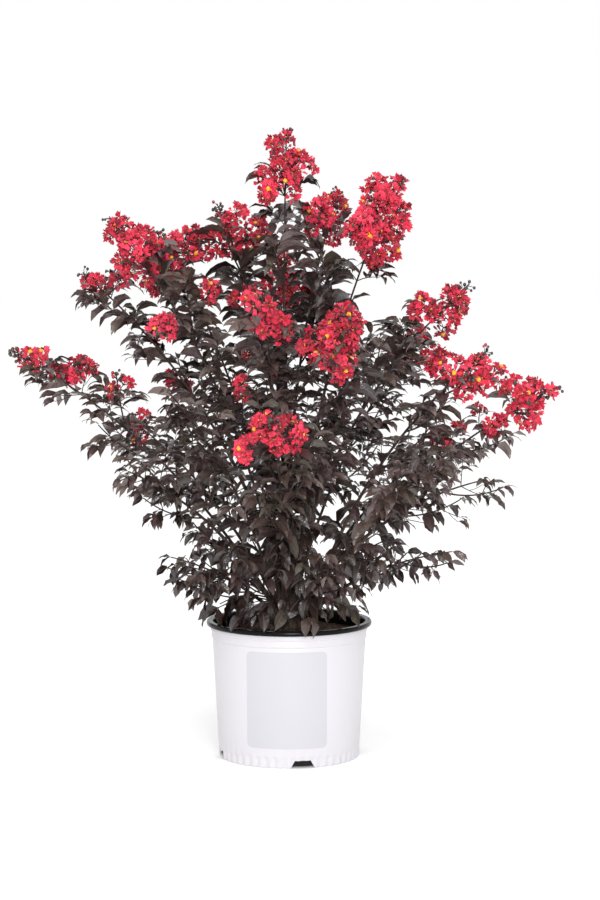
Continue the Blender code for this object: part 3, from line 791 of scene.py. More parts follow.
# The faces below the rough top take the near-black mix, as painted shade inside the pot.
painted_shade_faces = (np.arange(len(faces)) >= (MIX_RINGS - 1) * MIX_COLUMNS).astype(int)
mix = piece("potting_mix_bed", points, faces, [compost, wet_compost], "potting_mix", painted_shade_faces)
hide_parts("potting_mix")

# %% [markdown]
# Loose chips of bark lie on the mix. Each is a squashed block whose corners are moved at random,
# shaded flat so that its broken faces show.

# %% Bark chips
CHIPS = 420
CHIP_SIDES = ((2, 6), (1.5, 4), (0.6, 1.5))
CHIP_CORNERS = (0.6, 1.1)
CHIP_TILT = 0.4
CHIP_INSET = 6 * MM
CHIP_LIFT = 0.6 * MM


def make_chips(rng):
    """All chips' points and faces. Their sides are drawn from ranges in millimetres."""
    cube = np.array([(x, y, z) for x in (-1, 1) for y in (-1, 1) for z in (-1, 1)], float)
    cube_faces = np.array(
        [(0, 1, 3, 2), (4, 6, 7, 5), (0, 4, 5, 1), (2, 3, 7, 6), (0, 2, 6, 4), (1, 5, 7, 3)]
    )
    made = []
    for _ in range(CHIPS):
        radius = (MIX_RADIUS - CHIP_INSET) * math.sqrt(rng.random())
        turn = rng.uniform(0, math.tau)
        x, y = radius * math.cos(turn), radius * math.sin(turn)
        size = Vector([rng.uniform(*span) for span in CHIP_SIDES]) * MM
        spin = Matrix.Rotation(rng.uniform(0, math.tau), 3, "Z")
        spin = spin @ Matrix.Rotation(rng.uniform(-CHIP_TILT, CHIP_TILT), 3, "X")
        moved = np.array([[rng.uniform(*CHIP_CORNERS) for _ in range(3)] for _ in cube])
        local = cube * moved * np.array(size)
        made.append(local @ np.array(spin).T + (x, y, mix_height(x, y) + CHIP_LIFT))
    return np.concatenate(made), copies(CHIPS, cube_faces, len(cube))


points, faces = make_chips(random.Random(5))
piece("bark_chips", points, faces, [compost], "potting_mix", smooth=False)

# %% [markdown]
# The growth rule is the one that made the solids. Each mass of foliage sits on one shoot, an
# arching curve that leaves the woody crown or another bough and ends at the mass's tip. One row
# of this table gives each shoot its tip, how much of it is bare bough, its side twigs and bloom,
# where it is seated and its seed, so that both scripts draw the same numbers in the same order.

# %% Shoots of the plant
Mass = namedtuple(
    "Mass", "name azimuth reach height leafy sides side_blooms bloom seat seed"
)
MASSES = (
    Mass("crown_top", 180, 0.004, 1.056, 0.24, 4, 1, 0.050, (180, 90), 17),
    Mass("upper_left", 184, 0.300, 0.912, 0.20, 4, 1, 0.052, (184, 54), 25),
    Mass("upper_right", 345, 0.190, 0.978, 0.20, 4, 1, 0.062, (345, 54), 27),
    Mass("front_high", 287, 0.312, 0.762, 0.20, 4, 0, 0.052, (290, 54), 4),
    Mass("front_left_high", 261, 0.262, 0.790, 0.20, 4, 1, 0.038, (240, 54), 46),
    Mass("back", 92, 0.300, 0.850, 0.20, 4, 1, 0.046, (92, 54), 6),
    Mass("back_left", 139, 0.300, 0.880, 0.20, 4, 1, 0.040, (139, 54), 7),
    Mass("back_right", 45, 0.340, 0.720, 0.20, 4, 1, 0.038, (45, 54), 8),
    Mass("left_low", 184, 0.462, 0.690, 0.20, 4, 2, 0.030, (184, 14), 80),
    Mass("right_low", 0, 0.455, 0.628, 0.20, 4, 0, 0.042, (0, 14), 10),
    Mass("front_low", 266, 0.340, 0.600, 0.18, 4, 0, 0.044, (266, 14), 11),
    Mass("front_left_low", 231, 0.300, 0.630, 0.18, 4, 0, 0.0, (226, 14), 12),
    Mass("front_right_low", 317, 0.360, 0.530, 0.18, 4, 0, 0.0, (316, 14), 13),
    Mass("back_low_left", 140, 0.380, 0.560, 0.18, 4, 0, 0.030, (140, 14), 14),
    Mass("back_low_right", 38, 0.390, 0.540, 0.18, 4, 0, 0.030, (40, 14), 15),
    Mass("back_low", 92, 0.360, 0.580, 0.18, 4, 0, 0.032, (92, 14), 16),
    Mass("back_left_high", 137, 0.170, 0.935, 0.26, 3, 0, 0.044, ("crown_top", 0.45), 17),
    Mass("back_right_high", 60, 0.170, 0.955, 0.26, 3, 0, 0.040, ("crown_top", 0.80), 18),
    Mass("left_middle", 173, 0.352, 0.818, 0.26, 3, 0, 0.020, ("upper_left", 0.75), 19),
    Mass("right_high", 354, 0.302, 0.800, 0.26, 3, 1, 0.042, ("upper_right", 0.75), 67),
    Mass("right_middle", 338, 0.350, 0.694, 0.26, 3, 1, 0.040, ("right_low", 0.50), 8),
    Mass("left_under", 194, 0.275, 0.490, 0.28, 3, 0, 0.0, ("left_low", 0.60), 22),
    Mass("right_under", 346, 0.325, 0.475, 0.28, 3, 0, 0.0, ("right_low", 0.85), 23),
    Mass("skirt_left", 184, 0.200, 0.340, 0.0, 2, 0, 0.0, (190, -14), 24),
    Mass("skirt_right", 356, 0.275, 0.350, 0.0, 3, 0, 0.0, (350, -14), 25),
    Mass("skirt_front_right", 318, 0.215, 0.385, 0.0, 3, 0, 0.0, (318, -14), 26),
    Mass("skirt_front", 290, 0.185, 0.365, 0.0, 3, 0, 0.0, (290, -14), 27),
    Mass("skirt_front_left", 246, 0.195, 0.375, 0.0, 3, 0, 0.0, (246, -14), 28),
    Mass("skirt_side_left", 212, 0.195, 0.335, 0.0, 2, 0, 0.0, (212, -14), 29),
    Mass("skirt_back", 92, 0.210, 0.370, 0.0, 2, 0, 0.0, (92, -14), 30),
    Mass("skirt_back_left", 140, 0.200, 0.350, 0.0, 2, 0, 0.0, (140, -14), 31),
    Mass("skirt_back_right", 44, 0.210, 0.360, 0.0, 2, 0, 0.0, (44, -14), 32),
)
masses = {mass.name: mass for mass in MASSES}
print(len(masses), "shoots")

# %% [markdown]
# A stem of this shrub leaves its seat steeply and bends over under its leaves and bloom. It could
# be a curve object. A small class with a quadratic curve is enough, and it gives any place and
# direction along the stem, which later cells ask for thousands of times.

# %% Arching stems
ARCH = math.radians(15)
STEEPEST = math.radians(88)
LENGTH_STEPS = 12


def direction(azimuth, elevation):
    """A unit vector from two angles."""
    level = math.cos(elevation)
    return Vector((math.cos(azimuth) * level, math.sin(azimuth) * level, math.sin(elevation)))


def across(along, turn):
    """A unit vector square to along, at an angle round it."""
    return Matrix.Rotation(turn, 3, along) @ along.orthogonal().normalized()


class Shoot:
    """An arching stem from start to tip: a quadratic curve that leaves in the direction first."""

    def __init__(self, start, tip, first):
        self.start = start
        self.control = start + first * ((tip - start).length / 2 / math.cos(ARCH))
        self.tip = tip

    def at(self, share):
        rest = 1 - share
        return self.start * rest**2 + self.control * 2 * rest * share + self.tip * share**2

    def along(self, share):
        slope = (self.control - self.start) * (1 - share) + (self.tip - self.control) * share
        return slope.normalized()

    def length(self):
        points = [self.at(step / LENGTH_STEPS) for step in range(LENGTH_STEPS + 1)]
        return sum((b - a).length for a, b in zip(points, points[1:]))


def tip_of(mass):
    turn = math.radians(mass.azimuth)
    return Vector((math.cos(turn) * mass.reach, math.sin(turn) * mass.reach, mass.height))


def first_direction(seat, tip):
    """The steep way in which a stem leaves its seat, to arch over to its tip."""
    chord = tip - seat
    steep = math.atan2(chord.z, math.hypot(chord.x, chord.y)) + ARCH
    return direction(math.atan2(chord.y, chord.x), min(steep, STEEPEST))


# %% [markdown]
# Boughs taper from the woody crown to where the leaves begin, and a bough that springs from
# another is thinner. These are the solids' own sizes, so that the bark covers the same limbs.

# %% Thickness of the boughs
BOUGH_RADIUS = 4.4 * MM
FORK_RADIUS = 3.4 * MM
STEM_RADIUS = 2.8 * MM


def base_radius(mass):
    if mass.leafy == 0:
        return STEM_RADIUS
    return FORK_RADIUS if isinstance(mass.seat[0], str) else BOUGH_RADIUS


def bough_radius(mass, share):
    return base_radius(mass) + (STEM_RADIUS - base_radius(mass)) * share / mass.leafy


# %% [markdown]
# A shoot has to spring from what carries it. When the solids were made, each foot was moved in
# step by step until it all but touched its carrier. The same steps against the same meshes give
# the same feet here. A BVH tree is Blender's quick way to ask how far a point is from a mesh.

# %% Seats of the shoots
CROWN_RADIUS = 26.0 * MM
crown_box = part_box("woody_crown")
CROWN_CENTRE = crown_box[1].z - CROWN_RADIUS
BOUGH_PIECES = 3
STEM_PIECES = 5
FOOT_RIM_POINTS = 12
SETTLING_STEPS = 6


def crown_seat(mass):
    """A place a little off the woody crown, and the way in from there."""
    outward = direction(math.radians(mass.seat[0]), math.radians(mass.seat[1]))
    foot = Vector((0, 0, CROWN_CENTRE)) + outward * (CROWN_RADIUS + 2 * base_radius(mass))
    return foot, -outward


def fork_seat(mass, parent, shoot):
    """A place beside the bough that carries this one, and the way in."""
    share = mass.seat[1] * parent.leafy
    middle = shoot.at(share)
    along = shoot.along(share)
    first = first_direction(middle, tip_of(mass))
    outward = (first - along * first.dot(along)).normalized()
    return middle + outward * (bough_radius(parent, share) + 2 * base_radius(mass)), -outward


def foot_points(mass, foot):
    """The points of a shoot's cut end: its middle and two rings round it."""
    shoot = Shoot(foot, tip_of(mass), first_direction(foot, tip_of(mass)))
    step = mass.leafy / BOUGH_PIECES if mass.leafy else 1 / STEM_PIECES
    along = (shoot.at(step) - foot).normalized()
    rim = [across(along, turn * math.tau / FOOT_RIM_POINTS) for turn in range(FOOT_RIM_POINTS)]
    return [foot] + [foot + side * base_radius(mass) * size for side in rim for size in (0.5, 1)]


def tree_of(node_name):
    mesh = nodes[node_name].data
    return BVHTree.FromPolygons([v.co for v in mesh.vertices], [p.vertices for p in mesh.polygons])


def settled(mass, foot, inward, carrier):
    """The shoot with its foot moved in to its carrier's solid, as the solids were seated."""
    for _ in range(SETTLING_STEPS):
        clear = min(carrier.find_nearest(point)[3] for point in foot_points(mass, foot))
        foot = foot + inward * (clear - GAP)
    return Shoot(foot, tip_of(mass), first_direction(foot, tip_of(mass)))


shoots = {}
inwards = {}
for mass in MASSES:
    if isinstance(mass.seat[0], str):
        foot, inward = fork_seat(mass, masses[mass.seat[0]], shoots[mass.seat[0]])
        carrier = tree_of("bough_" + mass.seat[0])
    else:
        foot, inward = crown_seat(mass)
        carrier = tree_of("woody_crown")
    shoots[mass.name] = settled(mass, foot, inward, carrier)
    inwards[mass.name] = inward
total = sum(shoot.length() for shoot in shoots.values())
print("main stems", round(total, 1), "m in all")

# %% [markdown]
# Limbs, twigs and stalks are all tubes. Bevelled curves would make them too, but not with knots
# and flutes. So one function lays rings of points along a line, and each ring may swell or pinch
# by its own relief. Tubes gather in a list and become one mesh at the end.

# %% Tubes
class Tubes:
    """Gathers tapering tubes and joins them in one mesh."""

    def __init__(self, sides):
        self.sides = sides
        self.points = []
        self.faces = []
        self.count = 0
        turns = np.arange(sides) * math.tau / sides
        self.cosines = np.cos(turns)[None, :, None]
        self.sines = np.sin(turns)[None, :, None]

    def add(self, line, radii, relief=None):
        """A tube along line, open at its ends. relief is a factor for each ring and side."""
        line = np.array(line, float)
        along = np.gradient(line, axis=0)
        along /= np.linalg.norm(along, axis=1)[:, None]
        hint = np.array((0.31, 0.17, 0.94)) if abs(along[0][2]) < 0.8 else np.array((1.0, 0.1, 0))
        side = np.cross(along, hint)
        side /= np.linalg.norm(side, axis=1)[:, None]
        other = np.cross(along, side)
        size = np.array(radii, float)[:, None, None] * (1 if relief is None else relief[:, :, None])
        rings = line[:, None] + (self.cosines * side[:, None] + self.sines * other[:, None]) * size
        self.points.append(rings.reshape(-1, 3))
        self.faces.append(grid_faces(len(line), self.sides, closed=True) + self.count)
        self.count += rings.shape[0] * rings.shape[1]

    def made(self):
        return np.concatenate(self.points), np.concatenate(self.faces)


# %% [markdown]
# The woody crown is where the shrub was cut back each winter: a short neck and a knob that every
# stem leaves. It is the turned solid again, with lobes at its flare where roots begin, and noise
# on its skin in two sizes, for old swellings and for rough bark.

# %% Woody crown
CROWN_ROWS = 40
CROWN_COLUMNS = 72
ROWS_CROWD_UP = 1.2
LEAST_KNOB = 0.0025
NECK_RADIUS = 22 * MM
FLARE_OUT = 13 * MM
FLARE_FADE = 6 * MM
FLARE_LOBES = 5
LOBE_OUT = 3.0 * MM
LOBE_FADE = 9 * MM
SWELLING = 9 * MM
SWELLING_OUT = 1.6 * MM
ROUGH_BARK = 3 * MM
ROUGH_BARK_OUT = 0.5 * MM
SKIN_INSET = 1.0 * MM


def crown_rows():
    """The turned profile of neck, flare and knob, as radii and heights."""
    foot = crown_box[0].z
    height = crown_box[1].z - foot
    for row in range(CROWN_ROWS):
        z = foot + height * (1 - (1 - row / (CROWN_ROWS - 1)) ** ROWS_CROWD_UP)
        above = (z - CROWN_CENTRE) / CROWN_RADIUS
        knob = CROWN_RADIUS * math.sqrt(max(LEAST_KNOB, 1 - above**2)) if abs(above) <= 1 else 0
        flare = NECK_RADIUS + FLARE_OUT * math.exp(-(z - foot) / FLARE_FADE)
        yield max(knob, flare if z < CROWN_CENTRE else 0.8 * MM), z


def crown_mesh():
    points = []
    for radius, z in crown_rows():
        low = math.exp(-(z - crown_box[0].z) / LOBE_FADE)
        for column in range(CROWN_COLUMNS):
            turn = column * math.tau / CROWN_COLUMNS
            place = Vector((math.cos(turn) * radius, math.sin(turn) * radius, z))
            lobes = LOBE_OUT * low * math.cos(FLARE_LOBES * turn)
            skin = noise.noise(place / SWELLING) * SWELLING_OUT
            skin += noise.noise(place / ROUGH_BARK) * ROUGH_BARK_OUT
            size = max(radius + lobes + skin - SKIN_INSET, 0.4 * MM)
            points.append((math.cos(turn) * size, math.sin(turn) * size, z))
    return np.array(points), grid_faces(CROWN_ROWS, CROWN_COLUMNS, closed=True)


# %% [markdown]
# Boughs start inside the knob and swell where they leave it, as a branch collar does. Rings on
# them mark where leaves once sat, and shallow flutes wind slowly along. Knob and boughs become one
# piece, which replaces the solid limbs.

# %% Boughs
LIMB_SIDES = 12
RING_EVERY = 3.5 * MM
LEAST_RINGS = 6
INTO_CARRIER = 3 * MM
COLLAR_SWELL = 0.45
COLLAR_FADE = 7 * MM
LEAF_SCAR_EVERY = 24 * MM
LEAF_SCAR_SWELL = 0.07
LIMB_FLUTES = 3
LIMB_FLUTE_SWELL = 0.05
LIMB_FLUTE_TWIST = 30 * MM
BARK_ROUGHNESS = 0.018


def bough_relief(rng, away):
    """How each ring and side swells: leaf scars, winding flutes and rough bark."""
    turns = np.arange(LIMB_SIDES) * math.tau / LIMB_SIDES
    scars = 1 + LEAF_SCAR_SWELL * np.maximum(0, np.cos(away / LEAF_SCAR_EVERY * math.tau)) ** 6
    winding = LIMB_FLUTES * turns[None] + away[:, None] / LIMB_FLUTE_TWIST + rng.uniform(0, 6)
    rough = rng.normal(0, BARK_ROUGHNESS, (len(away), LIMB_SIDES))
    return scars[:, None] + LIMB_FLUTE_SWELL * np.cos(winding) + rough


def add_bough(tubes, rng, mass):
    shoot = shoots[mass.name]
    length = shoot.length() * mass.leafy
    shares = np.linspace(0, mass.leafy, max(LEAST_RINGS, round(length / RING_EVERY)))
    line = [shoot.start + inwards[mass.name] * INTO_CARRIER]
    line += [shoot.at(share) for share in shares[1:]]
    away = shares / mass.leafy * length
    radii = np.array([bough_radius(mass, share) for share in shares])
    radii = radii * (1 + COLLAR_SWELL * np.exp(-away / COLLAR_FADE))
    tubes.add(line, radii, bough_relief(rng, away))


limbs = Tubes(LIMB_SIDES)
limb_rng = np.random.default_rng(3)
boughs = [mass for mass in MASSES if mass.leafy]
for mass in boughs:
    add_bough(limbs, limb_rng, mass)
limb_points, limb_faces = limbs.made()
crown_points, crown_faces = crown_mesh()
bark = piece(
    "bark_limbs",
    np.concatenate([limb_points, crown_points]),
    np.concatenate([limb_faces, crown_faces + limbs.count]),
    [limb_bark],
    "bark",
)
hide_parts("woody_crown", *["bough_" + mass.name for mass in boughs])
print(len(boughs), "boughs on the woody crown")

# %% [markdown]
# Now the rule grows the foliage again. The solids show one large leaf where a whole spray grows,
# and a lump where a cluster of flowers is. Here each such leaf becomes a fine twig with its own
# pairs of leaves, each lump becomes single flowers and buds on stalks, and every stem also
# carries leaf pairs of its own.
#
# First the leaves. Crape myrtle leaves sit in near-opposite pairs that get smaller towards a
# stem's end. Towards the foot of the shrub, shade has taken some of them. Each leaf is only noted
# here, as a row of facts, so that all of them can become one mesh later.

# %% Leaves along a stem
LEAF_LENGTH = 58 * MM
HANGING_FROM = 0.64
HANGING_SPAN = 0.34
DROPPED_AT_FOOT = 0.52
AIRY_EVERY = 1.35
AIRY_LEAF = 0.84
SAME_TINT = 0.6
FIRST_PAIR_SIZE = 1.08
PAIR_SHRINK = 0.36
PAIR_SIZES = (0.75, 1.15)
TIP_PAIR_SIZES = (0.5, 0.72)
TOWARDS_TIP = (0.3, 0.9)
UPRIGHT = 0.8


def hanging_at(height):
    """How much leaves hang: 0 in the upper part of the plant, 1 at its foot."""
    return max(0, min(1, (HANGING_FROM - height) / HANGING_SPAN))


def pick_tint(rng, height):
    # Low in the shrub the weights favour the darkest tint, as painted shade.
    weights = PAINTED_SHADE_TINT_WEIGHTS if height < PAINTED_SHADE_BELOW else TINT_WEIGHTS
    return rng.choices(range(len(LEAF_TINTS)), weights)[0]


def leaf_pairs(rng, mass, stem, first, last, every, size, tint, tips=True):
    """Opposite pairs that shrink along the stem, and a last small pair at its very tip.

    On an upright stem each pair is square to the one before. On a level one the pairs twist
    until they lie out to both sides, as they do on the shrub, to catch the light.
    """
    airy = not mass.leafy or mass.name.endswith("under")
    size *= AIRY_LEAF if airy else 1
    every *= AIRY_EVERY if airy else 1
    count = max(1, round(stem.length() * (last - first) / every))
    phase = rng.uniform(0, math.tau)
    dropped = DROPPED_AT_FOOT * hanging_at(stem.start.z)
    for pair in range(count):
        if rng.random() < dropped:
            continue
        place = first + (last - first) * (pair + 0.5 + rng.uniform(-0.2, 0.2)) / count
        along = stem.along(place)
        level = along.cross(UP)
        flat = 1 - min(1, abs(along.z) / UPRIGHT)
        pair_size = size * (FIRST_PAIR_SIZE - PAIR_SHRINK * place)
        for half_turn in (0, math.pi):
            outward = across(along, phase + pair * math.pi / 2 + half_turn + rng.uniform(-0.4, 0.4))
            side = level.normalized() if level.dot(outward) >= 0 else -level.normalized()
            outward = outward * (1 - flat) + side * flat
            outward = (outward + along * rng.uniform(*TOWARDS_TIP)).normalized()
            own = tint if rng.random() < SAME_TINT else pick_tint(rng, stem.start.z)
            add_leaf(rng, mass, stem.at(place), outward, pair_size * rng.uniform(*PAIR_SIZES), own)
    if tips:
        along = stem.along(1)
        for half_turn in (0, math.pi):
            outward = (across(along, phase + half_turn) * 0.6 + along).normalized()
            add_leaf(rng, mass, stem.at(1), outward, size * rng.uniform(*TIP_PAIR_SIZES), tint)


# %% [markdown]
# A leaf rises from its stem and arches over. Low in the plant, in shade, it hangs, and is broader
# and flatter. High up, in full light, it is a little larger. The ranges below were matched to the
# photograph, and each is changed by how much the leaf hangs and how lush it is.

# %% How a leaf stands
LUSH_FROM = 0.58
LUSH_SPAN = 0.20
RISE_SHARE = 0.35
PITCH_DEGREES = (18, 50)
HANGING_PITCH = 42
BEND_DEGREES = (64, 112)
HANGING_BEND = 22
BEND_EASE = 1.25
HANGING_EASE = 0.65
BREADTH = (0.85, 1.15)
HANGING_BREADTH = 0.55
LUSH_BREADTH = 0.12
ROLL = 0.42
HANGING_ROLL = 0.20
CURL = 0.16
HANGING_SHORTER = 0.14
LUSH_LONGER = 0.16
Leaf = namedtuple("Leaf", "base outward length breadth pitch bend ease roll curl tint mass")
leaves = []


def add_leaf(rng, mass, base, outward, size, tint):
    """Notes one leaf that leaves base in the direction outward."""
    rise = math.asin(max(-1, min(1, outward.z)))
    hanging = hanging_at(base.z)
    lush = max(0, min(1, (base.z - LUSH_FROM) / LUSH_SPAN))
    pitch = RISE_SHARE * rise + math.radians(rng.uniform(*PITCH_DEGREES) - HANGING_PITCH * hanging)
    bend = math.radians(rng.uniform(*BEND_DEGREES) - HANGING_BEND * hanging)
    ease = BEND_EASE - HANGING_EASE * hanging
    breadth = rng.uniform(*BREADTH) * (1 + HANGING_BREADTH * hanging**2 + LUSH_BREADTH * lush)
    roll = rng.gauss(0, ROLL + HANGING_ROLL * hanging)
    curl = rng.uniform(-CURL, CURL)
    length = LEAF_LENGTH * size * (1 - HANGING_SHORTER * hanging + LUSH_LONGER * lush)
    shape = (length, breadth, pitch, bend, ease, roll, curl)
    leaves.append(Leaf(base, outward, *shape, tint, mass.name))


# %% [markdown]
# Twigs are thin tubes with six sides, because only their line shows. A side twig leans out from
# its stem and then lifts towards the light. The solids leave out a side twig that would run into
# a neighbour, so a twig is kept here only where the solid of its mass has one.

# %% Twigs
TWIG_RADIUS = 1.7 * MM
TWIG_TIP_RADIUS = 1.1 * MM
FINE_RADIUS = 0.9 * MM
STALK_RADIUS = 0.55 * MM
TWIG_RING_EVERY = 12 * MM
SIDE_TWIG_LENGTH = 0.172
SIDE_TWIG_TAPER = 0.090
SIDE_TWIG_LEAN = math.radians(42)
SIDE_TWIG_LIFT = 0.35
TWIG_FOUND_WITHIN = 2.5 * MM
twigs = Tubes(6)


def draw_stem(tubes, stem, first, last, start_radius, end_radius):
    """A tapering tube along one stretch of a stem."""
    count = max(2, round(stem.length() * (last - first) / TWIG_RING_EVERY))
    line = [stem.at(first + (last - first) * n / count) for n in range(count + 1)]
    tubes.add(line, np.linspace(start_radius, end_radius, len(line)))


def side_twig(shoot, place, turn, size):
    """A side shoot that leans out from its stem and then lifts towards the light."""
    along = shoot.along(place)
    first = along * math.cos(SIDE_TWIG_LEAN) + across(along, turn) * math.sin(SIDE_TWIG_LEAN)
    start = shoot.at(place)
    length = (SIDE_TWIG_LENGTH - SIDE_TWIG_TAPER * place) * size
    tip = start + (first + UP * SIDE_TWIG_LIFT).normalized() * length
    return Shoot(start, tip, first)


def has_twig(solid, twig):
    """Whether the mass's solid has this twig: both its tip and its middle lie on the solid."""
    ends = (twig.tip, twig.at(0.5))
    return all(solid.find_nearest(point)[3] < TWIG_FOUND_WITHIN for point in ends)


# %% [markdown]
# A crape myrtle flower has six petals, each a broad crinkled blade on a thin claw, round a
# golden tuft. Flowers stand in threes to fives on short branches, called cymes, and the cymes
# crowd into a cone. For each lump of the solids, cymes are spread over its surface by the golden
# turn, with their stalks running back to the stem. That gives the knobbly outline with chinks of
# sky that a smooth ball of flowers lacks. Round buds stand out between and beyond them.

# %% Flowers and buds on their stalks
GOLDEN_TURN = math.radians(137.5)
CYME_AREA = 0.0015
CYME_RADIUS = 9.5 * MM
FLOWERS_IN_CYME = (3, 4, 4, 5)
FLOWER_SIZES = (0.74, 1.05)
FLOWER_TINT_WEIGHTS = (2, 5, 4)
SAME_CRIMSON = 0.7
BUDS_IN_CYME = 3
BUD_RADIUS = 2.7 * MM
BUD_SIZES = (0.7, 1.15)
BUD_TINT_WEIGHTS = (6, 3, 1)
BRANCH_RADII = (1.0 * MM, 0.8 * MM, 0.6 * MM)
FLOWER_STALK_RADII = (0.7 * MM, 0.6 * MM, 0.5 * MM)
BUD_STALK_RADII = (0.7 * MM, 0.55 * MM, 0.45 * MM)
STALK_ARCH = 0.12
Flower = namedtuple("Flower", "base facing size spin tint")
Bud = namedtuple("Bud", "base size tint")
flowers = []
buds = []
lumps = []
stalks = Tubes(4)


def jitter(rng, size):
    return Vector((rng.gauss(0, size), rng.gauss(0, size), rng.gauss(0, size)))


def stalk_line(root, end, along):
    middle = (root + end) / 2 + along * (end - root).length * STALK_ARCH
    return [root, middle, end]


def add_bud(rng, root, base, along):
    tint = rng.choices(range(len(BUD_TINTS)), BUD_TINT_WEIGHTS)[0]
    buds.append(Bud(base, BUD_RADIUS * rng.uniform(*BUD_SIZES), tint))
    stalks.add(stalk_line(root, base, along), BUD_STALK_RADII)


def add_cyme(rng, heart, outward, along, tint):
    """A short branch's end: a few open flowers with buds between and beyond them."""
    for _ in range(rng.choice(FLOWERS_IN_CYME)):
        away = (outward * 0.8 + jitter(rng, 0.55)).normalized()
        base = heart + away * CYME_RADIUS * rng.uniform(0.75, 1.2)
        facing = (away + along * 0.2 + UP * 0.15 + jitter(rng, 0.25)).normalized()
        own = tint if rng.random() < SAME_CRIMSON else rng.randrange(len(FLOWER_TINT_WEIGHTS))
        flowers.append(Flower(base, facing, rng.uniform(*FLOWER_SIZES), rng.uniform(0, 6), own))
        stalks.add(stalk_line(heart, base - facing * 2 * MM, along), FLOWER_STALK_RADII)
    for _ in range(BUDS_IN_CYME):
        away = (outward * 0.5 + along * 0.3 + jitter(rng, 0.7)).normalized()
        add_bud(rng, heart, heart + away * CYME_RADIUS * rng.uniform(0.9, 1.8), along)


def flower_cluster(rng, centre, root, along, size):
    """A lump of bloom: short branches reach over its surface, and each ends in a few flowers."""
    count = max(1, round(4 * math.pi * size**2 / CYME_AREA))
    lumps.append((*centre, size))
    tint = rng.choices(range(len(FLOWER_TINT_WEIGHTS)), FLOWER_TINT_WEIGHTS)[0]
    spin = rng.uniform(0, math.tau)
    for number in range(count):
        z = 1 - 2 * (number + 0.5) / count
        outward = direction(spin + number * GOLDEN_TURN, math.asin(z))
        if count > 1 and outward.dot(along) < -0.75:
            continue
        away = max(0, size - CYME_RADIUS) * rng.uniform(0.75, 1.15)
        heart = centre + outward * away
        stalks.add(stalk_line(root, heart, along), BRANCH_RADII)
        add_cyme(rng, heart, outward, along, tint)


# %% [markdown]
# A panicle is a cone of such clusters round the end of a stem, widest below, with an unopened tip
# of buds. It takes one number from the mass's random draws, as the solids' panicle does, and makes
# its own draws from that. So the draws that follow it stay in step with the solids.

# %% Panicles
CLUSTER_EVERY = 0.018
CLUSTER_SHARE = 0.62
PANICLE_DEPTH = 2.2
TIP_BUDS = 6
TIP_BUD_FOR_EACH = 5 * MM
TIP_BUD_REACH = (5, 12)


def grow_panicle(rng, stem, radius):
    """A cone of flower clusters round the end of a stem."""
    count = max(1, round(radius / CLUSTER_EVERY))
    size = radius * (CLUSTER_SHARE if count > 1 else 1)
    depth = PANICLE_DEPTH * radius / stem.length()
    phase = rng.uniform(0, math.tau)
    local = random.Random(int(phase * 1e6))
    for number in range(count):
        share = (number + 0.5) / count
        place = 1 - depth * (1 - share) - 0.6 * size / stem.length() * share
        along = stem.along(place)
        spread = (radius - size * 0.8) * (1 - share) ** 0.5
        outward = across(along, phase + number * GOLDEN_TURN)
        centre = stem.at(place) + outward * spread
        root = stem.at(max(0, place - 0.6 * size / stem.length()))
        flower_cluster(local, centre, root, along, size * (1.1 - 0.35 * share))
    bud_tip(local, stem, radius)


def bud_tip(rng, stem, radius):
    """The unopened end of a panicle: single buds round its last stretch."""
    for number in range(TIP_BUDS + round(radius / TIP_BUD_FOR_EACH)):
        place = 1 - rng.uniform(0, 0.9) * radius / stem.length()
        along = stem.along(place)
        outward = across(along, number * GOLDEN_TURN)
        base = stem.at(place) + outward * rng.uniform(*TIP_BUD_REACH) * MM + along * 4 * MM
        add_bud(rng, stem.at(place) - along * 3 * MM, base, along)


# %% [markdown]
# Sprays stand where the solids carry a leaf, by the same draws. Each is a fine twig with its
# leaves, and in the upper part of the plant it forks once, into a twiglet. Further out on a side
# twig the sprays are shorter. A spray whose tip is far from the solid is one that the solids left
# out for lack of room.

# %% Sprays of fine twigs
SPRAY_EVERY = 0.066
SPRAY_DROOP = (0.28, 0.60)
SPRAY_SIZES = (0.90, 1.10)
SPRAY_REACH = 0.080
SPRAY_TAPER = 0.62
SPRAY_SKIRT = 0.72
SPRAY_LEAN = 0.45
SPRAY_FOUND_WITHIN = 30 * MM
SPRAY_LEAVES = 0.86
FINE_PAIR_EVERY = 18 * MM
TWIGLETS_ABOVE = 0.42
TWIGLET_FROM = 0.4
TWIGLET_SHARE = 0.60
TWIGLET_LEAVES = 0.80
fine_twigs = []


def grow_twiglet(rng, mass, twig, reach, tint):
    """A fork of a fine twig, with a few small leaves."""
    side = across(twig.along(TWIGLET_FROM), rng.uniform(0, math.tau))
    leaving = (side * 0.7 + twig.along(TWIGLET_FROM)).normalized()
    lifted = (leaving + UP * 0.25).normalized()
    fork = twig.at(TWIGLET_FROM)
    twiglet = Shoot(fork, fork + lifted * (reach * TWIGLET_SHARE), leaving)
    draw_stem(twigs, twiglet, 0, 1, STALK_RADIUS, STALK_RADIUS)
    leaf_pairs(rng, mass, twiglet, 0.3, 1, FINE_PAIR_EVERY, TWIGLET_LEAVES, tint)


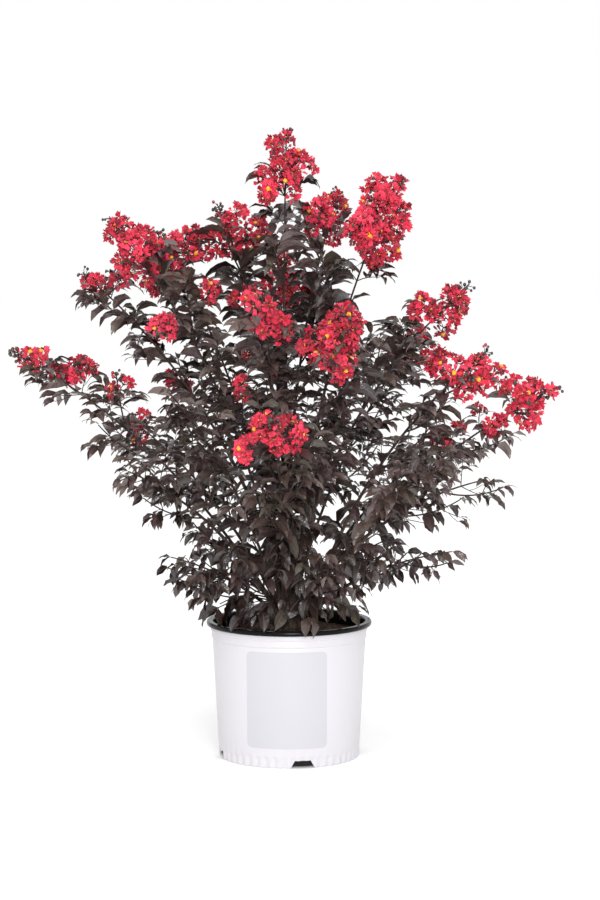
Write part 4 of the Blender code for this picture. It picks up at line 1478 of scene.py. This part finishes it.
def grow_sprays(rng, mass, stem, first, last, solid, fine_rng, outer):
    """A fine twig at each place where the solids carry a leaf.

    outer is 0 on a main stem and 0.5 on a side twig: further out, the fine twigs are shorter.
    rng makes the solids' own draws, and fine_rng makes those that only this scene needs.
    """
    count = max(1, round(stem.length() * (last - first) / SPRAY_EVERY))
    phase = rng.uniform(0, math.tau)
    for number in range(2 * count):
        place = first + (last - first) * (number // 2 + 0.5) / count
        along = stem.along(place)
        turn = phase + (number // 2) * math.pi / 2 + (number % 2) * math.pi
        outward = (across(along, turn) + along * SPRAY_LEAN).normalized()
        droop = rng.uniform(*SPRAY_DROOP)
        size = rng.uniform(*SPRAY_SIZES) * (1 if mass.leafy else SPRAY_SKIRT)
        taper = 1 - SPRAY_TAPER * (outer + (1 - outer) * place)
        reach = SPRAY_REACH * size * taper * fine_rng.uniform(0.8, 1.2)
        level = Vector((outward.x, outward.y, outward.z * 0.6 + 0.35 - 0.5 * droop)).normalized()
        start = stem.at(place)
        tip = start + level * reach
        if solid.find_nearest(tip)[3] > SPRAY_FOUND_WITHIN:
            continue
        twig = Shoot(start, tip, (outward + UP * 0.3).normalized())
        draw_stem(twigs, twig, 0, 1, FINE_RADIUS, STALK_RADIUS)
        tint = pick_tint(fine_rng, start.z)
        leaf_pairs(fine_rng, mass, twig, 0.25, 1, FINE_PAIR_EVERY, SPRAY_LEAVES, tint)
        fine_twigs.append(twig)
        if start.z > TWIGLETS_ABOVE:
            grow_twiglet(fine_rng, mass, twig, reach, tint)


# %% [markdown]
# Side twigs follow the golden turn round the stem. Where the solids found no room for one, they
# turned it on and made it a little shorter, up to three times, and the tries are repeated here. The
# uppermost may end in a small panicle.

# %% Side twigs with their sprays
SIDE_TWIG_FIRST = 0.10
SIDE_TWIG_LAST = 0.80
SIDE_TWIG_SIZES = (0.80, 1.20)
SIDE_TWIG_TRIES = 4
TRY_SHORTER = 0.12
SIDE_BLOOM = (0.45, 0.65)
SIDE_BLOOM_LEAST = 0.016
FLOWERING_LEAVES_END = 0.70
TWIG_PAIR_EVERY = 18 * MM


def grow_side_twigs(rng, mass, shoot, first, solid, fine_rng):
    """The side twigs of one shoot. It returns how many the solid has."""
    phase = rng.uniform(0, math.tau)
    kept = 0
    for number in range(mass.sides):
        step = (number + 0.5) / mass.sides
        place = first + (1 - first) * (SIDE_TWIG_FIRST * (1 - step) + SIDE_TWIG_LAST * step)
        size = rng.uniform(*SIDE_TWIG_SIZES)
        flowering = number >= mass.sides - mass.side_blooms
        bloom = max(mass.bloom * rng.uniform(*SIDE_BLOOM), SIDE_BLOOM_LEAST)
        for attempt in range(SIDE_TWIG_TRIES):
            turn = phase + (number + attempt) * GOLDEN_TURN
            twig = side_twig(shoot, place, turn, size * (1 - TRY_SHORTER * attempt))
            if not has_twig(solid, twig):
                continue
            kept += 1
            draw_stem(twigs, twig, 0, 1, TWIG_RADIUS, TWIG_TIP_RADIUS)
            last = FLOWERING_LEAVES_END if flowering else 1.0
            if flowering:
                grow_panicle(rng, twig, bloom)
            grow_sprays(rng, mass, twig, 0.30, last, solid, fine_rng, 0.5)
            tint = pick_tint(fine_rng, twig.start.z)
            leaf_pairs(fine_rng, mass, twig, 0.08, last, TWIG_PAIR_EVERY, 1, tint, not flowering)
            break
    return kept


# %% [markdown]
# The boughs below the masses aren't bare on the shrub. Short leafy spurs fill its middle, so that
# no light shows straight through there. The solids have none, so these draw from the scene's own
# numbers.

# %% Leafy spurs
SPURS_ABOVE = 0.37
SPURS_FROM = 0.12
SPURS_UP_TO = 0.30
SPUR_EVERY = 34 * MM
SPUR_LENGTH = 52 * MM
SPUR_SIZES = (0.7, 1.2)
SPUR_LEAVES = 0.95


def grow_spurs(rng, mass, shoot):
    """Short leafy spurs on the bough below the mass."""
    last = mass.leafy + SPURS_UP_TO
    count = round(shoot.length() * (last - SPURS_FROM) / SPUR_EVERY)
    phase = rng.uniform(0, math.tau)
    for number in range(count):
        place = SPURS_FROM + (last - SPURS_FROM) * (number + 0.5) / count
        along = shoot.along(place)
        outward = (across(along, phase + number * GOLDEN_TURN) + along * 0.5).normalized()
        start = shoot.at(place)
        if start.z < SPURS_ABOVE:
            continue
        spur = Shoot(start, start + outward * SPUR_LENGTH * rng.uniform(*SPUR_SIZES), outward)
        draw_stem(twigs, spur, 0, 1, FINE_RADIUS, STALK_RADIUS)
        tint = pick_tint(rng, start.z)
        leaf_pairs(rng, mass, spur, 0.25, 1, FINE_PAIR_EVERY, SPUR_LEAVES, tint)


# %% [markdown]
# With all its parts defined, each mass grows in turn. Two random generators run side by side. One
# repeats the solids' draws and the other makes the finer ones, so that a change to the leaves
# never moves a twig.

# %% Grow every mass
STEM_PAIR_EVERY = 20 * MM
FINE_SEED_SHIFT = 1000
BARE_BELOW_BLOOM = 1.4
STEM_LEAVES_FROM = 0.35


def grow_mass(mass):
    """One mass by the source's rule, then carried on to leaf pairs on every stem."""
    shoot = shoots[mass.name]
    rng = random.Random(mass.seed)
    fine_rng = random.Random(mass.seed + FINE_SEED_SHIFT)
    solid = tree_of("foliage_" + mass.name)
    first = mass.leafy + (GAP / shoot.length() if mass.leafy else 0)
    draw_stem(twigs, shoot, mass.leafy, 1, STEM_RADIUS, TWIG_TIP_RADIUS)
    if mass.bloom:
        grow_panicle(rng, shoot, mass.bloom)
    kept = grow_side_twigs(rng, mass, shoot, first, solid, fine_rng)
    bare_top = 1 - BARE_BELOW_BLOOM * mass.bloom / shoot.length()
    grow_sprays(rng, mass, shoot, first + 0.03, bare_top, solid, fine_rng, 0)
    grow_spurs(fine_rng, mass, shoot)
    tint = pick_tint(fine_rng, shoot.at(0.5).z)
    start = mass.leafy * STEM_LEAVES_FROM
    leaf_pairs(fine_rng, mass, shoot, start, bare_top, STEM_PAIR_EVERY, 1, tint, not mass.bloom)
    return kept


kept = sum(grow_mass(mass) for mass in MASSES)
print(kept, "side twigs", len(fine_twigs), "fine twigs", len(leaves), "leaves")

# %% [markdown]
# Low growth from the woody crown spreads over the pot's rim, and its broad leaves hang over the
# lip. Each shoot below is given by its turn round the pot, closest together at the front, where
# the photograph shows most. They count as part of the front skirt.

# %% Basal shoots over the rim
BASAL_TURNS = (20, 52, 88, 122, 160, 196, 232, 250, 267, 284, 304, 322, 341)
BASAL_REACH = 0.126
BASAL_REACHES = (0.9, 1.08)
BASAL_HEIGHT = LIP_TOP + 23 * MM
BASAL_LIFT = (-6, 10)
BASAL_RISE = math.radians(25)
BASAL_LEAVES = 1.45
basal_rng = random.Random(8)
skirt = masses["skirt_front"]
for turn in BASAL_TURNS:
    outward = direction(math.radians(turn), BASAL_RISE)
    foot = Vector((0, 0, CROWN_CENTRE)) + outward * (0.9 * CROWN_RADIUS)
    level = direction(math.radians(turn), 0) * (BASAL_REACH * basal_rng.uniform(*BASAL_REACHES))
    tip = level + UP * (BASAL_HEIGHT + basal_rng.uniform(*BASAL_LIFT) * MM)
    basal = Shoot(foot, tip, outward)
    draw_stem(twigs, basal, 0, 1, TWIG_RADIUS, FINE_RADIUS)
    tint = pick_tint(basal_rng, tip.z)
    leaf_pairs(basal_rng, skirt, basal, 0.35, 1, STEM_PAIR_EVERY, BASAL_LEAVES, tint)
print(len(leaves), "leaves,", len(flowers), "flowers,", len(buds), "buds")

# %% [markdown]
# Between the big panicles, short side growth ends in small knots of bloom. Each row below says
# where one stands, as seen from the front, and how large it is. They were placed one by one.

# %% Places of the young panicles
Knot = namedtuple("Knot", "across height radius")
KNOTS = (
    Knot(-0.055, 0.880, 0.026),
    Knot(-0.085, 0.858, 0.020),
    Knot(-0.135, 0.892, 0.024),
    Knot(0.228, 0.880, 0.026),
    Knot(-0.295, 0.905, 0.026),
    Knot(-0.215, 0.873, 0.022),
    Knot(0.203, 0.823, 0.018),
    Knot(0.106, 0.714, 0.026),
    Knot(0.069, 0.681, 0.020),
    Knot(0.085, 0.900, 0.026),
    Knot(0.060, 0.915, 0.020),
    Knot(-0.210, 0.730, 0.020),
    Knot(-0.145, 0.795, 0.016),
    Knot(-0.160, 0.635, 0.016),
    Knot(-0.072, 0.690, 0.016),
    Knot(-0.068, 0.632, 0.018),
    Knot(-0.060, 0.785, 0.020),
    Knot(-0.375, 0.648, 0.017),
    Knot(-0.380, 0.590, 0.016),
    Knot(-0.295, 0.655, 0.018),
    Knot(0.255, 0.688, 0.016),
    Knot(0.238, 0.805, 0.018),
    Knot(0.285, 0.760, 0.018),
    Knot(0.320, 0.695, 0.016),
    Knot(0.335, 0.645, 0.018),
    Knot(0.350, 0.612, 0.016),
    Knot(0.305, 0.593, 0.016),
    Knot(0.315, 0.545, 0.016),
    Knot(-0.080, 0.548, 0.016),
)
print(len(KNOTS), "young panicles to place")

# %% [markdown]
# The fine twig whose tip shows nearest to a knot's place carries it, so that none floats. A twig
# that stands further out is preferred. The knot stands a little outward, clear of the leaves. One
# at the back, near the same place, carries its like, so that the shrub blooms all round.

# %% Young panicles on their twigs
KNOT_WITHIN = 0.050
FRONT_COUNTS = 0.12
CLEAR_OF_MIDDLE = 0.02
KNOT_OUT = 8 * MM
KNOT_UP = 6 * MM


def seen_at(point):
    """Where a point shows in the upright plane through the pot's axis, from the camera."""
    eye = Vector(CAMERA_PLACE)
    share = -eye.y / (point.y - eye.y)
    return eye + (point - eye) * share


def knot_twig(knot, facing):
    """The free fine twig that shows nearest to a knot's place, on the front (-1) or back (1)."""

    def off(twig):
        seen = seen_at(twig.tip) if facing < 0 else twig.tip
        return math.hypot(seen.x - knot.across, seen.z - knot.height)

    def cost(twig):
        return off(twig) - FRONT_COUNTS * facing * twig.tip.y

    near = [twig for twig in fine_twigs if twig.tip.y * facing > CLEAR_OF_MIDDLE]
    best = min(near, key=cost)
    return best if off(best) < KNOT_WITHIN else None


def grow_knot(rng, knot, twig):
    along = twig.along(1)
    outward = Vector((twig.tip.x, twig.tip.y, 0)).normalized()
    centre = twig.tip + along * knot.radius * 0.6 + UP * KNOT_UP + outward * KNOT_OUT
    centre += jitter(rng, 0.2) * knot.radius
    flower_cluster(rng, centre, twig.at(0.9), along, knot.radius)


knot_rng = random.Random(21)
placed = 0
for knot in KNOTS:
    for facing in (-1, 1):
        twig = knot_twig(knot, facing)
        if twig:
            fine_twigs.remove(twig)
            grow_knot(knot_rng, knot, twig)
            placed += 1
print(placed, "knots,", len(flowers), "flowers,", len(buds), "buds")

# %% [markdown]
# A leaf is a strip of rows from stalk to tip. Its outline is a short list of widths, widest just
# before the middle and drawn out to a point. The strip bends down along its length, folds up a
# little at the midrib, and rolls, curls and ripples at its edge, each leaf in its own way. One
# could copy a modelled leaf with an instance, but then all would have one shape. All leaves are
# worked out at once with arrays instead.

# %% Leaf blades
LEAF_WIDTH = 18 * MM
LEAF_OUTLINE = (
    (0.00, 0.06),
    (0.06, 0.08),
    (0.18, 0.62),
    (0.36, 0.98),
    (0.54, 0.96),
    (0.72, 0.72),
    (0.88, 0.33),
    (1.00, 0.02),
)
LEAF_ACROSS = (-1.0, -0.5, -0.07, 0.07, 0.5, 1.0)
LEAF_FOLD = 0.26
LEAF_WAVE = 0.24
LEFT_RIPPLES = 15.0
RIGHT_RIPPLES = 14.0
RIPPLES_BY_ROLL = 20.0
RIPPLES_BY_CURL = 60.0
ROLL_GROWS = 0.6


def leaf_points(chosen):
    """The points of all these leaves, as an array of leaves, rows, columns and coordinates."""

    def each(fact):
        return np.array([getattr(leaf, fact) for leaf in chosen])[:, None]

    share = np.array([row[0] for row in LEAF_OUTLINE])
    half = np.array([row[1] for row in LEAF_OUTLINE]) * LEAF_WIDTH / LEAF_LENGTH / 2
    sideways = np.array(LEAF_ACROSS)
    length, pitch, bend = each("length"), each("pitch"), each("bend")
    roll, curl = each("roll"), each("curl")
    up = np.array((0.0, 0.0, 1.0))
    level = each("outward")[:, 0] * (1, 1, 0)
    level /= np.linalg.norm(level, axis=1)[:, None] + 1e-9
    side = np.cross(up, level)

    middle = (share[1:] + share[:-1]) / 2
    steps = np.diff(share)
    angle = pitch - bend * middle ** each("ease")
    start = np.zeros((len(chosen), 1))
    x = np.concatenate([start, np.cumsum(np.cos(angle) * steps, axis=1)], axis=1) * length
    z = np.concatenate([start, np.cumsum(np.sin(angle) * steps, axis=1)], axis=1) * length
    centre = each("base") + level[:, None] * x[:, :, None] + up * z[:, :, None]
    centre = centre + side[:, None] * (curl * length * share**2)[:, :, None]

    slope = (pitch - bend * share ** each("ease"))[:, :, None]
    normal = -level[:, None] * np.sin(slope) + up * np.cos(slope)
    turn = (roll * (1 + ROLL_GROWS * share))[:, :, None]
    beside = side[:, None] * np.cos(turn) + normal * np.sin(turn)
    above = normal * np.cos(turn) - side[:, None] * np.sin(turn)

    width = (half * length * each("breadth"))[:, :, None]
    left_wave = np.sin(share * LEFT_RIPPLES + roll * RIPPLES_BY_ROLL)[:, :, None]
    right_wave = np.sin(share * RIGHT_RIPPLES + curl * RIPPLES_BY_CURL)[:, :, None]
    wave = np.where(sideways < 0, left_wave, right_wave) * sideways**2 * LEAF_WAVE
    lift = np.abs(sideways) * LEAF_FOLD + wave
    return (
        centre[:, :, None]
        + beside[:, :, None] * (width * sideways)[..., None]
        + above[:, :, None] * (width * lift)[..., None]
    )


def leaf_faces():
    """One leaf's faces, and which of them are the midrib."""
    faces = grid_faces(len(LEAF_OUTLINE), len(LEAF_ACROSS))
    strip = np.tile(np.arange(len(LEAF_ACROSS) - 1), len(LEAF_OUTLINE) - 1)
    return faces, strip == len(LEAF_ACROSS) // 2 - 1


faces, rib = leaf_faces()
print(len(faces), "faces to a leaf,", rib.sum(), "of them midrib")

# %% [markdown]
# No leaf grows through plastic, and none shows through a flower. A leaf is left out where it
# would cut the mix, the wall or the lip, or where its middle lies inside a lump of bloom.

# %% Leaves with room to grow
RIM_CLEAR = 1.5 * MM
RIM_DEPTH = 12 * MM
MIX_CLEAR = 1 * MM
BLOOM_CLEAR = 4 * MM


def clear_of_pot(points):
    """Which leaves stay out of the mix, the wall and the lip."""
    radius = np.hypot(points[..., 0], points[..., 1])
    height = points[..., 2]
    in_pot = (radius < LIP_RADIUS - LIP_BEAD) & (height < MIX_TOP + MIX_CLEAR)
    in_rim = (radius >= LIP_RADIUS - RIM_DEPTH) & (radius < LIP_RADIUS + RIM_CLEAR)
    in_rim &= height < LIP_TOP + RIM_CLEAR
    return ~(in_pot | in_rim).any(axis=(1, 2))


def clear_of_bloom(points):
    """Which leaves keep their middle out of the lumps of flowers."""
    lump = np.array(lumps)
    middle = points[:, len(LEAF_OUTLINE) // 2, len(LEAF_ACROSS) // 2]
    away = np.linalg.norm(middle[:, None] - lump[None, :, :3], axis=2)
    return (away > lump[None, :, 3] + BLOOM_CLEAR).all(axis=1)


# %% [markdown]
# Each piece is kept under 200,000 triangles, so the leaves are joined in two pieces, mass by
# mass. Each piece replaces the solids of its own masses.

# %% Leaves in two pieces
LEAVES_IN_A_PIECE = 2750


def groups_of_masses():
    """Lists of masses' names, each with at most so many leaves."""
    groups = [[]]
    total = 0
    for mass in MASSES:
        count = sum(leaf.mass == mass.name for leaf in leaves)
        if total + count > LEAVES_IN_A_PIECE:
            groups.append([])
            total = 0
        groups[-1].append(mass.name)
        total += count
    return groups


for number, names in enumerate(groups_of_masses()):
    chosen = [leaf for leaf in leaves if leaf.mass in names]
    points = leaf_points(chosen)
    clear = clear_of_pot(points) & clear_of_bloom(points)
    points = points[clear]
    tints = np.array([leaf.tint for leaf in chosen])[clear]
    tints = np.where(rib[None], MIDRIB_SLOT, tints[:, None]).ravel()
    all_faces = copies(len(points), faces, points.shape[1] * points.shape[2])
    name = f"leaves_{number + 1}"
    blades = piece(name, points.reshape(-1, 3), all_faces, leaf_materials, "foliage", tints)
    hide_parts(*["foliage_" + mass_name for mass_name in names])
    print(name, clear.sum(), "leaves on", len(names), "masses")

# %% [markdown]
# By now every twig and every flower stalk has been gathered, so each kind is joined in a piece of
# its own. Both have the twig's rind, which is darker and redder than the boughs' bark.

# %% Twigs and flower stalks
for name, tubes in (("twigs", twigs), ("flower_stalks", stalks)):
    points, tube_faces = tubes.made()
    piece(name, points, tube_faces, [twig_rind], "bark")

# %% [markdown]
# Each petal is a blade on a thin claw. Real ones look like crumpled crepe paper: the blade is
# much wider than the room it has, so it ruffles, and its edge is ragged. Here waves that grow
# towards the edge do the ruffling, and every petal is tipped and twisted by its own amount. A few
# whole flowers are drawn once, and every flower of the plant is one of them, turned to its own
# facing.

# %% Kinds of flower
FLOWER_KINDS = 9
PETALS = 6
CLAW = 5.5 * MM
PETAL_ROWS = (
    (1.5 * MM, 0.4 * MM, 0.5 * MM),
    (CLAW, 0.7 * MM, 3.4 * MM),
    (8.8 * MM, 3.6 * MM, 4.2 * MM),
    (12.2 * MM, 5.2 * MM, 4.2 * MM),
    (15.8 * MM, 5.6 * MM, 3.6 * MM),
)
PETAL_COLUMNS = 7
PETAL_ASKEW = 0.25
PETAL_TIP_UP = (-1.1, 1.0)
PETAL_TWIST = 0.9
PETAL_SPREADS = (0.75, 1.15)
ROUND_CORNER = 2.2 * MM
RUFFLE = 2.5 * MM
RUFFLES = (0.6, 1.3)
RAGGED = 1.3 * MM
LOBE = 1.4 * MM
FOLD_COLUMNS = 3.3
FOLD_SLANT = 0.12 / MM


def flower_kind(rng):
    """One flower's petals, facing up. Rows of a petal give reach, half width and height."""
    points = []
    for petal in range(PETALS):
        askew = rng.uniform(-PETAL_ASKEW, PETAL_ASKEW)
        spin = Matrix.Rotation((petal + askew) * math.tau / PETALS, 3, "Z")
        tip_up = rng.uniform(*PETAL_TIP_UP)
        twist = rng.uniform(-PETAL_TWIST, PETAL_TWIST)
        spread = rng.uniform(*PETAL_SPREADS)
        phase = rng.uniform(0, math.tau)
        for reach, half, height in PETAL_ROWS:
            share = max(0, (reach - CLAW) / (PETAL_ROWS[-1][0] - CLAW))
            for column in range(PETAL_COLUMNS):
                u = column / (PETAL_COLUMNS - 1) * 2 - 1
                fold = math.sin(column * math.tau / FOLD_COLUMNS + phase + reach * FOLD_SLANT)
                tooth = 1 if column % 2 else -1
                out = (reach - CLAW) - abs(u) ** 3 * ROUND_CORNER * share
                out += (rng.uniform(-RAGGED, RAGGED) + tooth * LOBE * share) * share
                ruffle = fold * rng.uniform(*RUFFLES) * RUFFLE * min(1, 1.6 * share)
                wide = u * half * spread
                lift = ruffle + wide * math.sin(twist)
                x = CLAW + out * math.cos(tip_up) - lift * math.sin(tip_up)
                z = height + out * math.sin(tip_up) * (share > 0) + lift * math.cos(tip_up)
                points.append(spin @ Vector((x, wide * math.cos(twist), z)))
    return np.array(points)


kind_rng = random.Random(11)
kinds = np.array([flower_kind(kind_rng) for _ in range(FLOWER_KINDS)])
petal_faces = grid_faces(len(PETAL_ROWS), PETAL_COLUMNS)
flower_faces = copies(PETALS, petal_faces, len(PETAL_ROWS) * PETAL_COLUMNS)
print(FLOWER_KINDS, "kinds of flower with", len(flower_faces), "faces each")

# %% [markdown]
# Each flower of the plant has a place, a facing, a size and a spin about that facing. One matrix
# for each turns a kind's points to it, and one product of arrays turns them all.

# %% Every flower in its place
def turned_to(facings, spins):
    """Rotation matrices that take Z to each facing, after a spin about Z."""
    z = np.array(facings)
    hint = np.where(np.abs(z[:, 2:3]) < 0.9, np.array([[0.0, 0.0, 1.0]]), np.array([[1.0, 0.0, 0.0]]))
    x = np.cross(hint, z)
    x /= np.linalg.norm(x, axis=1)[:, None]
    y = np.cross(z, x)
    cosine, sine = np.cos(spins)[:, None], np.sin(spins)[:, None]
    return np.stack([x * cosine + y * sine, y * cosine - x * sine, z], axis=2)


bases = np.array([flower.base for flower in flowers])
sizes = np.array([flower.size for flower in flowers])
spins = np.array([flower.spin for flower in flowers])
matrices = turned_to([flower.facing for flower in flowers], spins)
chosen_kinds = kinds[np.arange(len(flowers)) % FLOWER_KINDS]
points = np.einsum("nij,npj->npi", matrices, chosen_kinds * sizes[:, None, None]) + bases[:, None]
print("flowers from", round(bases[:, 2].min(), 2), "to", round(bases[:, 2].max(), 2), "m up")

# %% [markdown]
# Crepe catches light and shade in every fold. A flower's own crimson is shifted lighter or darker
# by petal, at random, and again by fold, as painted highlight and painted shade in the folds.
# Petals are shaded flat, so that their creases stay crisp. By height, a third of the flowers go
# to each of three pieces, each under 200,000 triangles.

# %% Petals in three pieces
PETAL_SHIFTS = (-1, 0, 1)
PETAL_SHIFT_SHARES = (0.22, 0.53, 0.25)
FOLD_PAINTED_LIGHT_SHARES = (0.27, 0.46, 0.27)
shift_rng = np.random.default_rng(9)
by_petal = shift_rng.choice(PETAL_SHIFTS, (len(flowers), PETALS), p=PETAL_SHIFT_SHARES)
by_petal = np.repeat(by_petal, len(petal_faces), axis=1)
folds = by_petal.shape[1] // 2
# Each pair of faces shifts a crimson lighter or darker: painted light and shade in the folds.
fold_painted_light = shift_rng.choice(PETAL_SHIFTS, (len(flowers), folds), p=FOLD_PAINTED_LIGHT_SHARES)
fold_painted_light = np.repeat(fold_painted_light, 2, axis=1)
tints = np.array([flower.tint for flower in flowers])[:, None] + by_petal + fold_painted_light
tints = np.clip(tints, 0, len(PETAL_TINTS) - 1)
thirds = np.array_split(np.argsort(-bases[:, 2], kind="stable"), 3)
for name, part in zip(("petals_top", "petals_middle", "petals_low"), thirds):
    chosen_faces = copies(len(part), flower_faces, points.shape[1])
    crepe = (points[part].reshape(-1, 3), chosen_faces, petal_materials, "blossom")
    piece(name, *crepe, tints[part].ravel(), smooth=False)

# %% [markdown]
# The golden tuft in a flower's heart is dozens of hair-fine stamens, too fine to show one by one.
# A low ragged dome stands for them. Only about one flower in seven faces out with its heart wide
# open, and there the dome is full. The others show a small point of gold.

# %% Stamens
HEART_RADIUS = 4.0 * MM
SMALL_HEART_RADIUS = 1.4 * MM
HEART_HEIGHT = 5.0 * MM
HEART_FLATNESS = 0.8
HEART_RAGGED = 0.22
HEART_RAGGED_STEP = 2.4
FULL_HEART_EVERY = 7


def ball(radius, finer):
    """A ball of triangles, as points and faces."""
    shape = bmesh.new()
    bmesh.ops.create_icosphere(shape, subdivisions=finer, radius=radius)
    points = np.array([vert.co for vert in shape.verts])
    faces = np.array([[vert.index for vert in face.verts] for face in shape.faces])
    shape.free()
    return points, faces


def heart_kind(radius, finer):
    """The golden tuft: a low ragged dome of stamens."""
    points, faces = ball(radius, finer)
    ragged = 1 + HEART_RAGGED * np.cos(np.arange(len(points)) * HEART_RAGGED_STEP)
    points = points * ragged[:, None] * (1, 1, HEART_FLATNESS)
    return points + (0, 0, HEART_HEIGHT), faces


full = np.arange(len(flowers)) % FULL_HEART_EVERY == 0
for name, part, radius, finer in (
    ("stamens_full", full, HEART_RADIUS, 2),
    ("stamens_small", ~full, SMALL_HEART_RADIUS, 1),
):
    heart_points, heart_faces = heart_kind(radius, finer)
    local = heart_points[None] * sizes[part][:, None, None]
    points = np.einsum("nij,npj->npi", matrices[part], local) + bases[part][:, None]
    heart_copies = copies(part.sum(), heart_faces, len(heart_points))
    piece(name, points.reshape(-1, 3), heart_copies, [pollen], "blossom")

# %% [markdown]
# Buds are round and hard like small peas, dark green to burgundy, and a few are about to open
# and show crimson. One ball of few faces, drawn out a little and shaded smooth, is enough for
# each.

# %% Buds
BUD_TALLER = 1.15
ball_points, ball_faces = ball(1, 2)
points = ball_points[None] * np.array([bud.size for bud in buds])[:, None, None]
points = points * (1, 1, BUD_TALLER) + np.array([bud.base for bud in buds])[:, None]
tints = np.repeat([bud.tint for bud in buds], len(ball_faces))
bud_faces = copies(len(buds), ball_faces, len(ball_points))
piece("buds", points.reshape(-1, 3), bud_faces, bud_materials, "foliage", tints)

# %% [markdown]
# The dressed plant's box is measured against the solids' box, and the difference on each side
# is printed. The dressed plant may stand only a little outside the solids' box.

visual_box = [list(corner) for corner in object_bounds()]
for axis in range(3):
    cad_side = cad_box[1][axis] - cad_box[0][axis]
    visual_side = visual_box[1][axis] - visual_box[0][axis]
    print("XYZ"[axis], round(cad_side, 4), "m in the solids,", round(visual_side, 4), "m here")
    low = (visual_box[0][axis] - cad_box[0][axis]) / MM
    high = (visual_box[1][axis] - cad_box[1][axis]) / MM
    print("  low side", round(low, 1), "mm, high side", round(high, 1), "mm")
